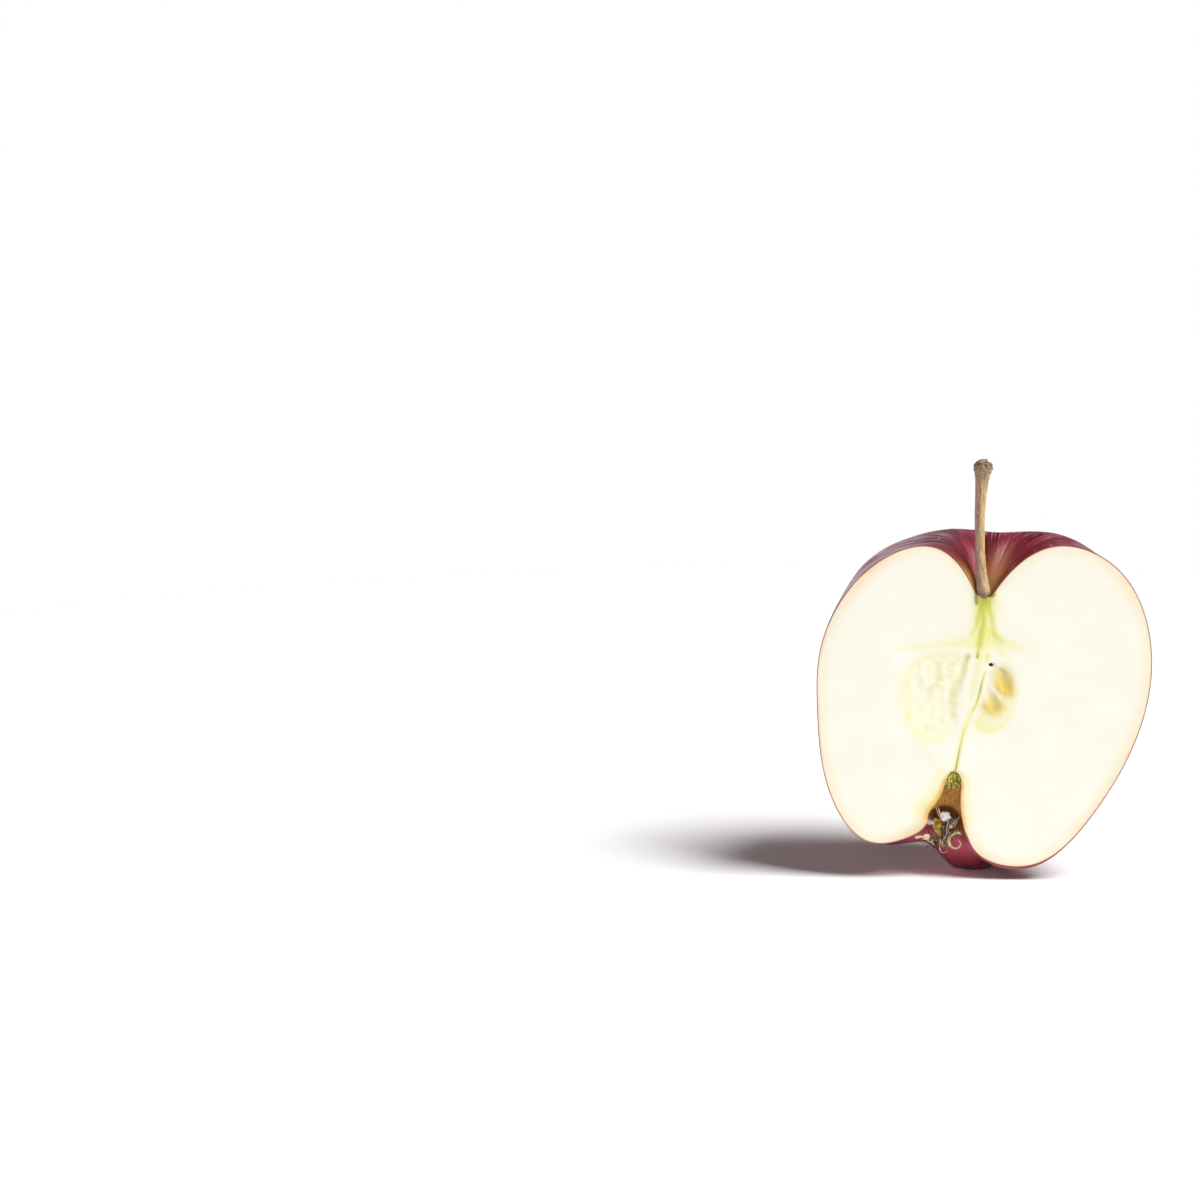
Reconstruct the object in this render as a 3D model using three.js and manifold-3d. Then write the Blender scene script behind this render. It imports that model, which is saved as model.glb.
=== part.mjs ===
// Half of a red apple, cut lengthwise through its core, standing on one lobe of its calyx end.
//
// Millimetres. The fruit frame has its origin in the middle of the core, +Z along the core
// axis towards the stalk, and the knife cut in the plane y = 0 with the half apple behind it
// (+Y). The part frame, +Z up, has its origin on the floor under the middle of the part: the
// fruit leans TILT to the right in it, with the middle of its core at CORE_AT.
//
// The skin is one formula. A point on it has an angle phi round the core axis, 0 at the right
// edge of the cut and 180 degrees at its left edge, and a station t along the meridian, from
// the bottom of the stalk cavity (0) over the crown, the flank and the foot to the top of the
// calyx tube (1). The two edges of the cut are B-splines. Between them the meridian is a blend
// of the two, swollen by the five lobes, the foot that the half stands on and a full shoulder.

import * as THREE from 'three';
import { NURBSCurve } from 'three/addons/curves/NURBSCurve.js';
import { mergeVertices } from 'three/addons/utils/BufferGeometryUtils.js';
import Module from 'manifold-3d';

const wasm = await Module();
wasm.setup();

const { degToRad, lerp, clamp } = THREE.MathUtils;

// ---- driving dimensions ------------------------------------------------------------------

// Control points (distance from the core axis, height) of the cut's right and left edges.
const RIGHT_EDGE = [
  [0, 26.7], [2.0, 26.7], [0.9, 27.0], [11.1, 43.4], [31.4, 39.0],
  [41.0, 19.4], [40.2, -0.3], [33.8, -17.7], [23.9, -34.4], [8.8, -34.1],
  [4.9, -28.2], [3.1, -23.2], [2.2, -19.5], [2.1, -14.1], [0, -13.9],
];
const LEFT_EDGE = [
  [0, 26.7], [2.0, 26.7], [1.3, 26.9], [11.7, 39.7], [28.4, 30.0],
  [35.7, 11.2], [33.2, -3.3], [29.3, -21.8], [18.2, -35.7], [7.1, -30.8],
  [3.6, -27.5], [4.8, -23.7], [1.4, -20.6], [1.6, -14.0], [0, -13.9],
];
const DEPTH_RATIO = 0.97;               // depth of the half over the radius of a round fruit

const CROWN = { t: 0.185, width: 0.07 };  // station and spread of the crown
const FOOT = { t: 0.62, width: 0.06 };    // station and spread of the lobed foot

const LOBES = 5;
const LOBE_AT_CROWN = degToRad(44);
const LOBE_AT_FOOT = degToRad(61);
const BODY_LOBE = 0.8;                  // swell of a lobe on the flank
const BODY_FROM = { t: 0.10, soft: 0.02 };  // the flank's swell fades out into the stalk cavity
const BODY_TO = { t: 0.66, soft: 0.02 };    // and into the calyx basin
const CROWN_LOBE = { out: 0.6, up: 0.35 };
const FOOT_LOBE = { out: 1.0, down: 1.6 };
const REAR_RISE = 1.15;                 // the crown is higher at the back than at the cut
const STANDING_LOBE = { drop: 5.4, spread: degToRad(40) };
const SHOULDER = {
  size: 6.8, at: degToRad(141), spread: degToRad(36), t: 0.281, width: 0.062, out: 0.75, up: 0.5,
  fade: 0.8,                            // power of sin(phi), which takes it to 0 at the cut
};
// Under the calyx tube the cavity steps back by deep. Its arched roof is at roofMiddle at the back
// and at roofSide by the cut, and it fades out at mouth.
const CAVITY = { deep: 1.8, roofMiddle: 0.845, roofSide: 0.795, mouth: 0.75, sharp: 0.004, soft: 0.01 };

const TILT = degToRad(8.5);
const CORE_AT = new THREE.Vector3(-4.23, -17.4, 38.94);

// Open seed chambers, and the pit round the seed tip, as ellipsoids sunk in the cut face.
const CHAMBERS = [
  { at: [7.6, 8.4], half: [1.7, 1.0, 3.3], lean: -28 },
  { at: [5.8, 3.5], half: [1.5, 0.9, 2.9], lean: -18 },
  { at: [4.13, 11.46], half: [0.95, 1.1, 0.8], lean: 0 },
];
const SEED_TIP = { at: [4.13, 0.45, 11.46], half: [0.5, 0.4, 0.36] };

// Stations along the stalk: its middle in the fruit frame and its radius there.
const STALK = [
  { at: [-0.2, 0.9, 27.1], r: 1.55 },
  { at: [-0.4, 0.9, 28.0], r: 1.6 },
  { at: [-1.0, 0.9, 30.2], r: 1.35 },
  { at: [-2.0, 1.0, 34.1], r: 1.15 },
  { at: [-3.1, 1.0, 39.7], r: 1.1 },
  { at: [-4.0, 1.1, 45.4], r: 1.15 },
  { at: [-4.5, 1.1, 50.0], r: 1.3 },
  { at: [-4.8, 1.2, 53.4], r: 1.65 },
  { at: [-4.9, 1.2, 54.7], r: 2.0 },
  { at: [-4.95, 1.2, 55.8], r: 1.95 },
  { at: [-5.0, 1.2, 56.5], r: 1.3 },
];
const GAP = 0.3;                        // air between pieces that touch in the real fruit

// Dried sepals: the middle line of each leaf from its root in the calyx to its tip. The half width
// falls by TIP_LOSS x u ** taper on the way, so a taper under 1 makes a narrow, thread-like leaf.
const SEPALS = {
  sepal_left: {
    line: [[-2.9, 2.1, -30.5], [-3.6, 2.0, -30.4], [-4.6, 1.8, -30.4], [-6.1, 1.4, -30.8]],
    width: 1.6, taper: 1.5, ripple: 0.25, face: [0.1, -0.9, -0.4],
  },
  sepal_front: {
    line: [[-1.2, 4.2, -30.0], [-2.2, 3.5, -30.6], [-2.1, 2.9, -31.3], [-1.4, 2.6, -31.7]],
    width: 1.5, taper: 1.5, ripple: 0.25, face: [-0.4, -0.8, 0.2],
  },
  sepal_folded: {
    line: [[-0.9, 3.3, -26.2], [-1.1, 2.7, -27.4], [-0.9, 2.4, -28.6], [-0.6, 2.5, -29.7]],
    width: 3.2, taper: 1.5, ripple: 0.35, face: [0, -1, -0.2],
  },
  sepal_right: {
    line: [[4.1, 2.4, -28.1], [3.1, 2.2, -28.2], [2.1, 2.0, -28.9], [1.6, 1.8, -30.2],
      [2.1, 1.6, -31.4], [3.2, 1.5, -31.8], [4.2, 1.5, -31.3], [4.3, 1.6, -30.4],
      [3.8, 1.7, -29.9]],
    width: 1.3, taper: 0.35, ripple: 0.08, face: [0, -1, 0.25],
  },
  sepal_curl: {
    line: [[0.3, 4.6, -31.0], [-0.3, 3.6, -31.9], [0.1, 2.9, -33.0], [0.8, 2.6, -33.5],
      [1.8, 2.5, -33.0]],
    width: 0.6, taper: 0.6, ripple: 0.06, face: [0, -1, 0.2],
  },
};
const SEPAL_THICK = 0.35;
const TIP_LOSS = 0.8;                   // share of a leaf's half width lost at its tip
const EDGE_LOSS = 0.4;                  // share of its thickness lost at its edges
const CUP = 0.25;                       // how far its edges bend back, as a share of the half width
const RIPPLES = { along: 9, across: 2.2 };  // radians of ripple from root to tip, and middle to edge

// Dried flower parts inside the calyx: a tuft of down and a bundle of bent stamens.
const TUFT = { at: [-0.1, 2.2, -24.9], half: [1.1, 0.8, 0.9], lean: -10 };
const STAMEN_RADIUS = 0.34;
const THREAD_LOSS = 0.45;               // share of a thread's radius lost at its tip
const STAMENS = [
  [[1.7, 3.4, -25.9], [1.6, 2.9, -27.4], [1.1, 2.6, -29.2], [0.7, 2.3, -31.2], [0.5, 2.1, -32.0]],
  [[1.1, 3.5, -27.0], [1.1, 2.9, -28.5], [0.8, 2.3, -29.6], [1.2, 1.9, -30.9]],
  [[1.4, 2.8, -28.0], [1.8, 2.2, -26.6], [2.5, 1.9, -25.0]],
  [[1.0, 2.5, -29.4], [0.3, 2.1, -30.2], [0.1, 1.9, -31.1]],
];

const ROUND = 36;                       // steps of phi over the half turn
const ALONG = 62;                       // steps along a meridian
const STALK_SIDES = 20;
const STAMEN_STEPS = 8;
const STAMEN_SIDES = 7;
const SAME_POINT = 1e-5;                // vertices closer than this are one

const COLOURS = {
  flesh: 0xf6f0d2,
  stalk: 0x8a7256,
  sepal: 0xcdbf98,
  foldedSepal: 0xa8853c,
  tuft: 0xe6e4da,
  stamens: 0x7b7264,
  seed: 0x2c1c14,
};

// ---- geometry helpers --------------------------------------------------------------------

function edgeCurve(points) {
  const degree = 3;
  const inner = points.length - degree;
  const knots = [];
  for (let i = 0; i < degree; i++) knots.push(0);
  for (let i = 0; i <= inner; i++) knots.push(i / inner);
  for (let i = 0; i < degree; i++) knots.push(1);
  return new NURBSCurve(degree, knots, points.map(([r, z]) => new THREE.Vector4(r, z, 0, 1)));
}

function bell(value, centre, width) {
  return Math.exp(-(((value - centre) / width) ** 2));
}

function rise(value) {
  return 1 / (1 + Math.exp(-value));
}

// An indexed geometry from a list of Vector3 and a list of corner numbers.
function geometryFrom(points, corners) {
  const geometry = new THREE.BufferGeometry();
  const numbers = points.flatMap((p) => p.toArray());
  geometry.setAttribute('position', new THREE.Float32BufferAttribute(numbers, 3));
  geometry.setIndex(corners);
  return geometry;
}

function toSolid(geometry) {
  const bare = geometry.clone();
  bare.deleteAttribute('normal');
  bare.deleteAttribute('uv');
  const merged = mergeVertices(bare, SAME_POINT);
  return new wasm.Manifold(new wasm.Mesh({
    numProp: 3,
    vertProperties: new Float32Array(merged.attributes.position.array),
    triVerts: new Uint32Array(merged.index.array),
  }));
}

function fromSolid(solid) {
  const mesh = solid.getMesh();
  const geometry = new THREE.BufferGeometry();
  geometry.setAttribute('position', new THREE.Float32BufferAttribute(mesh.vertProperties, 3));
  geometry.setIndex(Array.from(mesh.triVerts));
  return geometry;
}

// A closed body from rings of points, with a middle point closing each end.
function ringBody(rings) {
  const sides = rings[0].length;
  const points = rings.flat();
  const corners = [];
  for (let i = 0; i + 1 < rings.length; i++) {
    for (let k = 0; k < sides; k++) {
      const next = (k + 1) % sides;
      const a = i * sides + k;
      const b = i * sides + next;
      corners.push(a, b, b + sides, a, b + sides, a + sides);
    }
  }
  for (const [ring, flip] of [[0, true], [rings.length - 1, false]]) {
    const middle = rings[ring].reduce((sum, p) => sum.add(p), new THREE.Vector3()).divideScalar(sides);
    const top = points.push(middle) - 1;
    for (let k = 0; k < sides; k++) {
      const a = ring * sides + k;
      const b = ring * sides + ((k + 1) % sides);
      corners.push(...(flip ? [b, a, top] : [a, b, top]));
    }
  }
  return geometryFrom(points, corners);
}

function ellipsoid({ at, half, lean = 0 }, across = 16, down = 10) {
  const [x, y, z] = at.length === 3 ? at : [at[0], 0, at[1]];
  return new THREE.SphereGeometry(1, across, down)
    .scale(...half)
    .rotateY(degToRad(lean))
    .translate(x, y, z);
}

// ---- the fruit's skin --------------------------------------------------------------------

const rightEdge = edgeCurve(RIGHT_EDGE);
const leftEdge = edgeCurve(LEFT_EDGE);

function skinPoint(phi, t) {
  const right = rightEdge.getPoint(t);
  const left = leftEdge.getPoint(t);
  const toLeft = (1 - Math.cos(phi)) / 2;
  let r = lerp(right.x, left.x, toLeft);
  let z = lerp(right.y, left.y, toLeft);

  const crown = bell(t, CROWN.t, CROWN.width);
  const foot = bell(t, FOOT.t, FOOT.width);
  const body = rise((t - BODY_FROM.t) / BODY_FROM.soft) * rise((BODY_TO.t - t) / BODY_TO.soft);
  const down = clamp((t - CROWN.t) / (FOOT.t - CROWN.t), 0, 1);
  const turn = lerp(LOBE_AT_CROWN, LOBE_AT_FOOT, down);
  // the lobes are measured from the cut's own edges, which already hold theirs
  const atCut = lerp(Math.cos(LOBES * turn), Math.cos(LOBES * (Math.PI - turn)), toLeft);
  const lobe = Math.cos(LOBES * (phi - turn)) - atCut;
  r += lobe * (BODY_LOBE * body + CROWN_LOBE.out * crown + FOOT_LOBE.out * foot);
  z += lobe * (CROWN_LOBE.up * crown - FOOT_LOBE.down * foot);

  const back = Math.max(Math.sin(phi), 0);
  z += REAR_RISE * back * crown;
  z -= STANDING_LOBE.drop * bell(phi, LOBE_AT_FOOT, STANDING_LOBE.spread) * foot;
  const swell = SHOULDER.size * back ** SHOULDER.fade
    * bell(phi, SHOULDER.at, SHOULDER.spread) * bell(t, SHOULDER.t, SHOULDER.width);
  r += SHOULDER.out * swell;
  z += SHOULDER.up * swell;
  const roof = lerp(CAVITY.roofSide, CAVITY.roofMiddle, back);
  const hollow = rise((roof - t) / CAVITY.sharp) * rise((t - CAVITY.mouth) / CAVITY.soft);
  return new THREE.Vector3(r * Math.cos(phi), back * (r * DEPTH_RATIO + CAVITY.deep * hollow), z);
}

const fruitToPart = new THREE.Matrix4().makeTranslation(CORE_AT)
  .multiply(new THREE.Matrix4().makeRotationY(TILT));
const partToFruit = fruitToPart.clone().invert();

// Presses a point of the skin flat where it would go through the floor.
function standOnFloor(point) {
  const placed = point.clone().applyMatrix4(fruitToPart);
  if (placed.z >= 0) return point;
  placed.z = 0;
  return placed.applyMatrix4(partToFruit);
}

function fleshGeometry() {
  // stations half way between equal steps of t and equal steps of length
  const stations = [];
  for (let j = 1; j < ALONG; j++) {
    stations.push(lerp(j / ALONG, rightEdge.getUtoTmapping(j / ALONG), 0.5));
  }
  const points = [];
  for (let i = 0; i <= ROUND; i++) {
    const phi = Math.PI * i / ROUND;
    for (const t of stations) {
      const point = standOnFloor(skinPoint(phi, t));
      if (i === 0 || i === ROUND) point.y = 0;
      points.push(point);
    }
  }
  const row = stations.length;
  const pit = points.push(skinPoint(0, 0)) - 1;
  const tube = points.push(skinPoint(0, 1)) - 1;
  const corners = [];
  for (let i = 0; i < ROUND; i++) {
    const here = i * row;
    const next = here + row;
    for (let j = 0; j + 1 < row; j++) {
      corners.push(here + j, here + j + 1, next + j + 1, here + j, next + j + 1, next + j);
    }
    corners.push(here, next, pit);
    corners.push(here + row - 1, tube, next + row - 1);
  }
  // the cut face: right edge down, then left edge up
  const edge = [pit];
  for (let j = 0; j < row; j++) edge.push(j);
  edge.push(tube);
  for (let j = row - 1; j >= 0; j--) edge.push(ROUND * row + j);
  const outline = edge.map((n) => new THREE.Vector2(points[n].x, points[n].z));
  for (const [a, b, c] of THREE.ShapeUtils.triangulateShape(outline, [])) {
    corners.push(edge[a], edge[b], edge[c]);
  }
  return geometryFrom(points, corners);
}

// ---- stalk, leaves and threads -----------------------------------------------------------

function rod(stations, sides, grow = 0) {
  const line = new THREE.CatmullRomCurve3(stations.map((s) => new THREE.Vector3(...s.at)));
  return ringBody(stations.map((station, i) => {
    const along = line.getTangent(i / (stations.length - 1));
    const across = new THREE.Vector3(0, 1, 0).cross(along).normalize();
    const front = along.clone().cross(across);
    const ring = [];
    for (let k = 0; k < sides; k++) {
      const angle = 2 * Math.PI * k / sides;
      ring.push(new THREE.Vector3(...station.at)
        .addScaledVector(across, (station.r + grow) * Math.cos(angle))
        .addScaledVector(front, (station.r + grow) * Math.sin(angle)));
    }
    return ring;
  }));
}

// The stalk with a skin of air round it, run on past its lower end.
function stalkSeat() {
  const root = STALK[0];
  const below = { at: [root.at[0], root.at[1], root.at[2] - GAP], r: root.r };
  return rod([below, ...STALK], STALK_SIDES, GAP);
}

function thread(points, radius, steps, sides) {
  const curve = new THREE.CatmullRomCurve3(points.map((p) => new THREE.Vector3(...p)));
  const stations = [];
  for (let i = 0; i <= steps; i++) {
    const u = i / steps;
    stations.push({ at: curve.getPoint(u).toArray(), r: radius * (1 - THREAD_LOSS * u) });
  }
  return rod(stations, sides);
}

// A thin rippled leaf: rings of 2 * across points round a flat section, pointed at its tip.
function leaf({ line, width, taper, ripple, face }, steps = 14, across = 4) {
  const curve = new THREE.CatmullRomCurve3(line.map((p) => new THREE.Vector3(...p)));
  const front = new THREE.Vector3(...face).normalize();
  const rings = [];
  for (let i = 0; i <= steps; i++) {
    const u = i / steps;
    const middle = curve.getPoint(u);
    const side = curve.getTangent(u).cross(front).normalize();
    const out = side.clone().cross(curve.getTangent(u)).normalize();
    const half = width / 2 * (1 - TIP_LOSS * u ** taper);
    const ring = [];
    for (const [sign, from] of [[1, -1], [-1, 1]]) {
      for (let k = 0; k < across; k++) {
        const s = from * (1 - 2 * k / (across - 1));
        const wave = ripple * Math.sin(RIPPLES.along * u + RIPPLES.across * s) - CUP * half * s * s;
        const thick = SEPAL_THICK / 2 * (1 - EDGE_LOSS * Math.abs(s));
        ring.push(middle.clone()
          .addScaledVector(side, half * s)
          .addScaledVector(out, wave + sign * thick));
      }
    }
    rings.push(ring);
  }
  return ringBody(rings);
}

// ---- the scene graph ---------------------------------------------------------------------

const part = new THREE.Group();
const fruit = new THREE.Group();
fruit.position.copy(CORE_AT);
fruit.rotation.y = TILT;
part.add(fruit);

function addPiece(name, geometry, colour, roughness) {
  const material = new THREE.MeshStandardMaterial({ color: colour, roughness, metalness: 0 });
  const mesh = new THREE.Mesh(geometry, material);
  mesh.name = name;
  fruit.add(mesh);
}

let flesh = toSolid(fleshGeometry());
flesh = flesh.subtract(toSolid(stalkSeat()));
for (const chamber of CHAMBERS) {
  flesh = flesh.subtract(toSolid(ellipsoid(chamber)));
}
addPiece('flesh', fromSolid(flesh), COLOURS.flesh, 0.55);
addPiece('stalk', rod(STALK, STALK_SIDES), COLOURS.stalk, 0.8);
addPiece('seed_tip', ellipsoid(SEED_TIP, 10, 6), COLOURS.seed, 0.4);

for (const [name, shape] of Object.entries(SEPALS)) {
  addPiece(name, leaf(shape), name === 'sepal_folded' ? COLOURS.foldedSepal : COLOURS.sepal, 0.9);
}
addPiece('calyx_tuft', ellipsoid(TUFT, 10, 8), COLOURS.tuft, 1.0);

const stamens = STAMENS
  .map((points) => toSolid(thread(points, STAMEN_RADIUS, STAMEN_STEPS, STAMEN_SIDES)))
  .reduce((joined, one) => joined.add(one));
addPiece('stamens', fromSolid(stamens), COLOURS.stamens, 0.85);

export default part;
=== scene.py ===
# Half of a red apple, cut lengthwise through its core, standing on one lobe of its calyx end.
#
# The shapes are written in millimetres in the fruit frame: origin in the middle of the core, +Z along
# the core axis to the stalk, the knife cut in the plane y = 0, and the half apple behind it (+Y).
# to_part() leans the fruit over and moves it onto the floor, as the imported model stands.

import math

import bpy
import numpy as np
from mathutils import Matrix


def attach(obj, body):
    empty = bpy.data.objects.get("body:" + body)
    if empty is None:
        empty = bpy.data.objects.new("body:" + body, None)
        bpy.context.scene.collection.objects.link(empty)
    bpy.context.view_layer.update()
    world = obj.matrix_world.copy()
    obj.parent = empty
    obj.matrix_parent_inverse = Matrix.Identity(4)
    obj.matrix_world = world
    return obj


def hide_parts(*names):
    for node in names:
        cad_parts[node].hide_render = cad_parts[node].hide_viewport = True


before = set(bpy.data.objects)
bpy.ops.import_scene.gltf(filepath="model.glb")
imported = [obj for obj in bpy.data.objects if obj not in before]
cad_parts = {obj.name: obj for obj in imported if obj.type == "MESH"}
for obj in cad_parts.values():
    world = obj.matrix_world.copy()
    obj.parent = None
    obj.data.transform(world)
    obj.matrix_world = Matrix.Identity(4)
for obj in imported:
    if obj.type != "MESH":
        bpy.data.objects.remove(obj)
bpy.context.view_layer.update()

# ---- sizes, in mm --------------------------------------------------------------------------------

TILT = math.radians(8.5)
CORE_AT = (-4.23, -17.4, 38.94)

# Control points (distance from the core axis, height) of the cut's right and left edges.
RIGHT_EDGE = [(0, 26.7), (2.0, 26.7), (0.9, 27.0), (11.1, 43.4), (31.4, 39.0),
              (41.0, 19.4), (40.2, -0.3), (33.8, -17.7), (23.9, -34.4), (8.8, -34.1),
              (4.9, -28.2), (3.1, -23.2), (2.2, -19.5), (2.1, -14.1), (0, -13.9)]
LEFT_EDGE = [(0, 26.7), (2.0, 26.7), (1.3, 26.9), (11.7, 39.7), (28.4, 30.0),
             (35.7, 11.2), (33.2, -3.3), (29.3, -21.8), (18.2, -35.7), (7.1, -30.8),
             (3.6, -27.5), (4.8, -23.7), (1.4, -20.6), (1.6, -14.0), (0, -13.9)]
CORE_TOP, CORE_FOOT = 26.7, -13.9
DEPTH_RATIO = 0.97
EQUATOR = 37.0                           # radius that turns an angle round the fruit into mm of skin

CROWN, CROWN_WIDTH = 0.185, 0.07         # station along the meridian, and its spread
FOOT, FOOT_WIDTH = 0.62, 0.06
LOBES = 5
LOBE_AT_CROWN, LOBE_AT_FOOT = math.radians(44), math.radians(61)
BODY_LOBE = 0.8                          # swell of a lobe on the flank
CROWN_LOBE_OUT, CROWN_LOBE_UP = 0.6, 0.35
FOOT_LOBE_OUT, FOOT_LOBE_DOWN = 1.0, 1.6
REAR_RISE = 1.15                         # the crown is higher at the back than at the cut
STANDING_DROP, STANDING_SPREAD = 5.4, math.radians(40)
SHOULDER, SHOULDER_AT, SHOULDER_SPREAD = 6.8, math.radians(141), math.radians(36)
SHOULDER_STATION, SHOULDER_WIDTH = 0.281, 0.062
SHOULDER_OUT, SHOULDER_UP = 0.75, 0.5
BODY_FROM, BODY_TO, BODY_EDGE = 0.10, 0.66, 0.02   # the stations between which the flank swells
# Under the calyx tube the cavity steps back; its arched roof is higher at the back than by the cut.
CAVITY_DEEP, ROOF_MIDDLE, ROOF_SIDE, MOUTH = 1.8, 0.845, 0.795, 0.75
ROOF_EDGE, MOUTH_EDGE = 0.004, 0.01
SKIN_ENDS = (0.765, 0.006)               # the station of the tube's rim, and how softly the skin stops
WRINKLED_CROWN = (0.20, 0.07)            # station and spread of the wrinkles over the crown
WRINKLE_ROUND, WRINKLE_DOWN = 24, 22     # mm of random field to a radian round, and to the meridian
# Random relief: height in mm, size in mm, seed. On the skin, the bark and the leaves the height is a
# share of the radius or the width.
SKIN_WRINKLES = (0.0035, 6.0, 8)
KNIFE_WAVES = (0.012, 9.0, 3)
CHAMBER_CRUMBS, CHAMBER_FOLDS = (0.02, 1.3, 5), (0.06, 3.2, 6)
BARK_LUMPS, KNOB_LUMPS = (0.020, 0.7, 11), (0.03, 0.9, 12)
LEAF_EDGE, LEAF_CRUMPLES = (0.08, 1.6, 21), (0.06, 1.6, 22)
BARK_DOWN = 14                           # mm of random field to the whole stalk
# Depths behind the knife's plane; the relief fades over the last RELIEF_FADE mm to the skin.
CUT_BACK, SLIT_DEEP, STREAK_DEEP = 0.03, 0.06, 0.10
SHAVED_DEEP, SHAVED_EDGE, RELIEF_FADE = 0.20, 0.45, 0.6
# Coats that reach the mesh's poles: their strength at the tube's pole and at the pit's.
AT_POLES = {"russet": (0, 1), "olive": (0, 1), "tube": (1, 0), "lime": (0, 1)}

# Seed chambers cut open: (middle x, z), (half width, depth, half height), lean in degrees.
OCHRE_CHAMBERS = [((7.6, 8.4), (1.7, 0.55, 3.3), -28), ((5.8, 3.5), (1.5, 0.50, 2.9), -18)]
# The ochre stain of each chamber: its closed outline, and where it is palest.
OCHRE_STAINS = [([(5.0, 9.8), (6.0, 11.5), (7.8, 11.4), (9.3, 9.4), (9.9, 7.0), (9.6, 5.3), (8.0, 5.2),
                  (6.2, 6.3)], (7.4, 12.6)),
                ([(4.3, 6.3), (5.8, 5.2), (7.6, 3.6), (8.2, 2.0), (6.9, 0.7), (4.9, 0.8), (3.8, 2.1),
                  (4.2, 4.3)], (4.3, 6.6))]
PIP_PIT = ((4.13, 11.46), (0.72, 0.9, 0.55), 0)
# The chamber wall that the knife shaved on the left, as a closed outline in (x, z).
SHAVED_CHAMBER = [(-1.6, 12.4), (-4.5, 12.3), (-7.2, 11.8), (-10.1, 11.0), (-12.5, 9.2), (-13.6, 6.9),
                  (-14.0, 3.7), (-13.9, 0.6), (-12.9, -2.2), (-11.2, -4.7), (-8.9, -6.3), (-6.0, -7.0),
                  (-4.0, -6.6), (-2.1, -5.3), (-1.4, -3.0), (-1.9, 0.5), (-1.7, 6.0), (-1.3, 10.4)]

# Lines that show in the cut: points (x, z), half width, strength at each end.
LIME_VEINS = [
    ([(0.0, 26.9), (0.2, 25.4), (0.4, 23.6)], 1.5, (1.0, 0.8)),
    ([(-0.1, 26.4), (0.1, 23.9), (0.7, 21.2), (0.7, 18.2), (0.85, 15.4)], 0.68, (1.0, 0.85)),
    ([(-0.1, 24.5), (-0.5, 22.1), (-0.6, 19.5), (-1.3, 17.6)], 0.62, (1.0, 0.25)),
    ([(1.1, 25.9), (1.7, 23.9), (2.5, 21.9), (3.8, 18.6), (5.4, 16.9)], 0.66, (0.9, 0.35)),
    ([(0.35, -8.5), (0.3, -11.7), (0.25, -14.2)], 0.34, (0.25, 1.0)),
    ([(-1.9, -17.0), (-1.5, -15.2), (0.2, -13.7), (2.0, -14.6), (2.5, -16.8)], 0.50, (0.3, 0.45)),
]
STRAW_LINES = [
    ([(0.6, 25.5), (0.8, 20.5), (0.9, 16.0)], 2.60, (0.85, 0.75)),
    ([(-0.6, 15.8), (-2.8, 15.6), (-6.5, 14.6), (-10.1, 13.7), (-13.7, 12.7), (-17.4, 12.0)],
     0.66, (0.7, 0.12)),
    ([(-0.6, 16.4), (-6.0, 14.6), (-11.0, 13.6)], 1.50, (0.45, 0.10)),
    ([(1.9, 19.4), (4.3, 18.0), (6.7, 17.1), (9.1, 16.4), (12.0, 16.0)], 1.00, (1.0, 0.12)),
    ([(2.0, 18.0), (4.5, 16.0), (6.4, 14.5)], 1.30, (0.9, 0.30)),
    ([(0.9, 15.0), (0.9, 12.5)], 0.80, (0.7, 0.4)),
    ([(3.05, 13.5), (2.95, 12.7)], 0.50, (1.0, 0.8)),
    ([(0.85, 14.7), (0.82, 12.8)], 0.60, (0.95, 0.95)),
    ([(1.9, 13.4), (1.6, 11.3), (2.0, 9.6)], 0.50, (0.65, 0.25)),
    ([(1.1, 11.8), (1.2, 7.0), (1.0, 3.4)], 0.90, (0.45, 0.45)),
    ([(2.95, 12.6), (2.85, 10.9)], 0.40, (0.6, 0.2)),
    ([(3.1, 9.4), (2.8, 5.9), (2.45, 2.7), (1.75, 0.4)], 0.50, (0.75, 0.90)),
    ([(1.8, 0.6), (1.05, -2.4), (0.6, -5.0), (0.35, -8.1), (0.3, -12.5)], 0.55, (0.65, 0.80)),
    ([(10.8, 6.5), (10.6, 3.2), (9.8, -0.4), (7.7, -2.8), (4.9, -3.4), (3.2, -2.2)], 0.80, (0.30, 0.65)),
    ([(9.2, 4.5), (8.0, 0.5), (5.0, -1.4)], 1.90, (0.35, 0.45)),
    ([(3.9, -1.2), (4.6, -2.5), (6.0, -2.9)], 0.50, (0.7, 0.3)),
    ([(-9.8, -7.2), (-5.4, -12.5), (-2.4, -17.5), (-3.2, -22.0)], 0.50, (0.15, 0.30)),
    ([(3.0, -14.5), (4.0, -18.0), (5.0, -24.0)], 0.70, (0.30, 0.30)),
    ([(24.8, 6.9), (25.9, 6.2)], 0.30, (0.5, 0.3)),
    ([(-2.6, -14.5), (-3.2, -18.5), (-4.4, -21.5), (-6.4, -24.0)], 1.60, (0.30, 0.50)),
]
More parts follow.
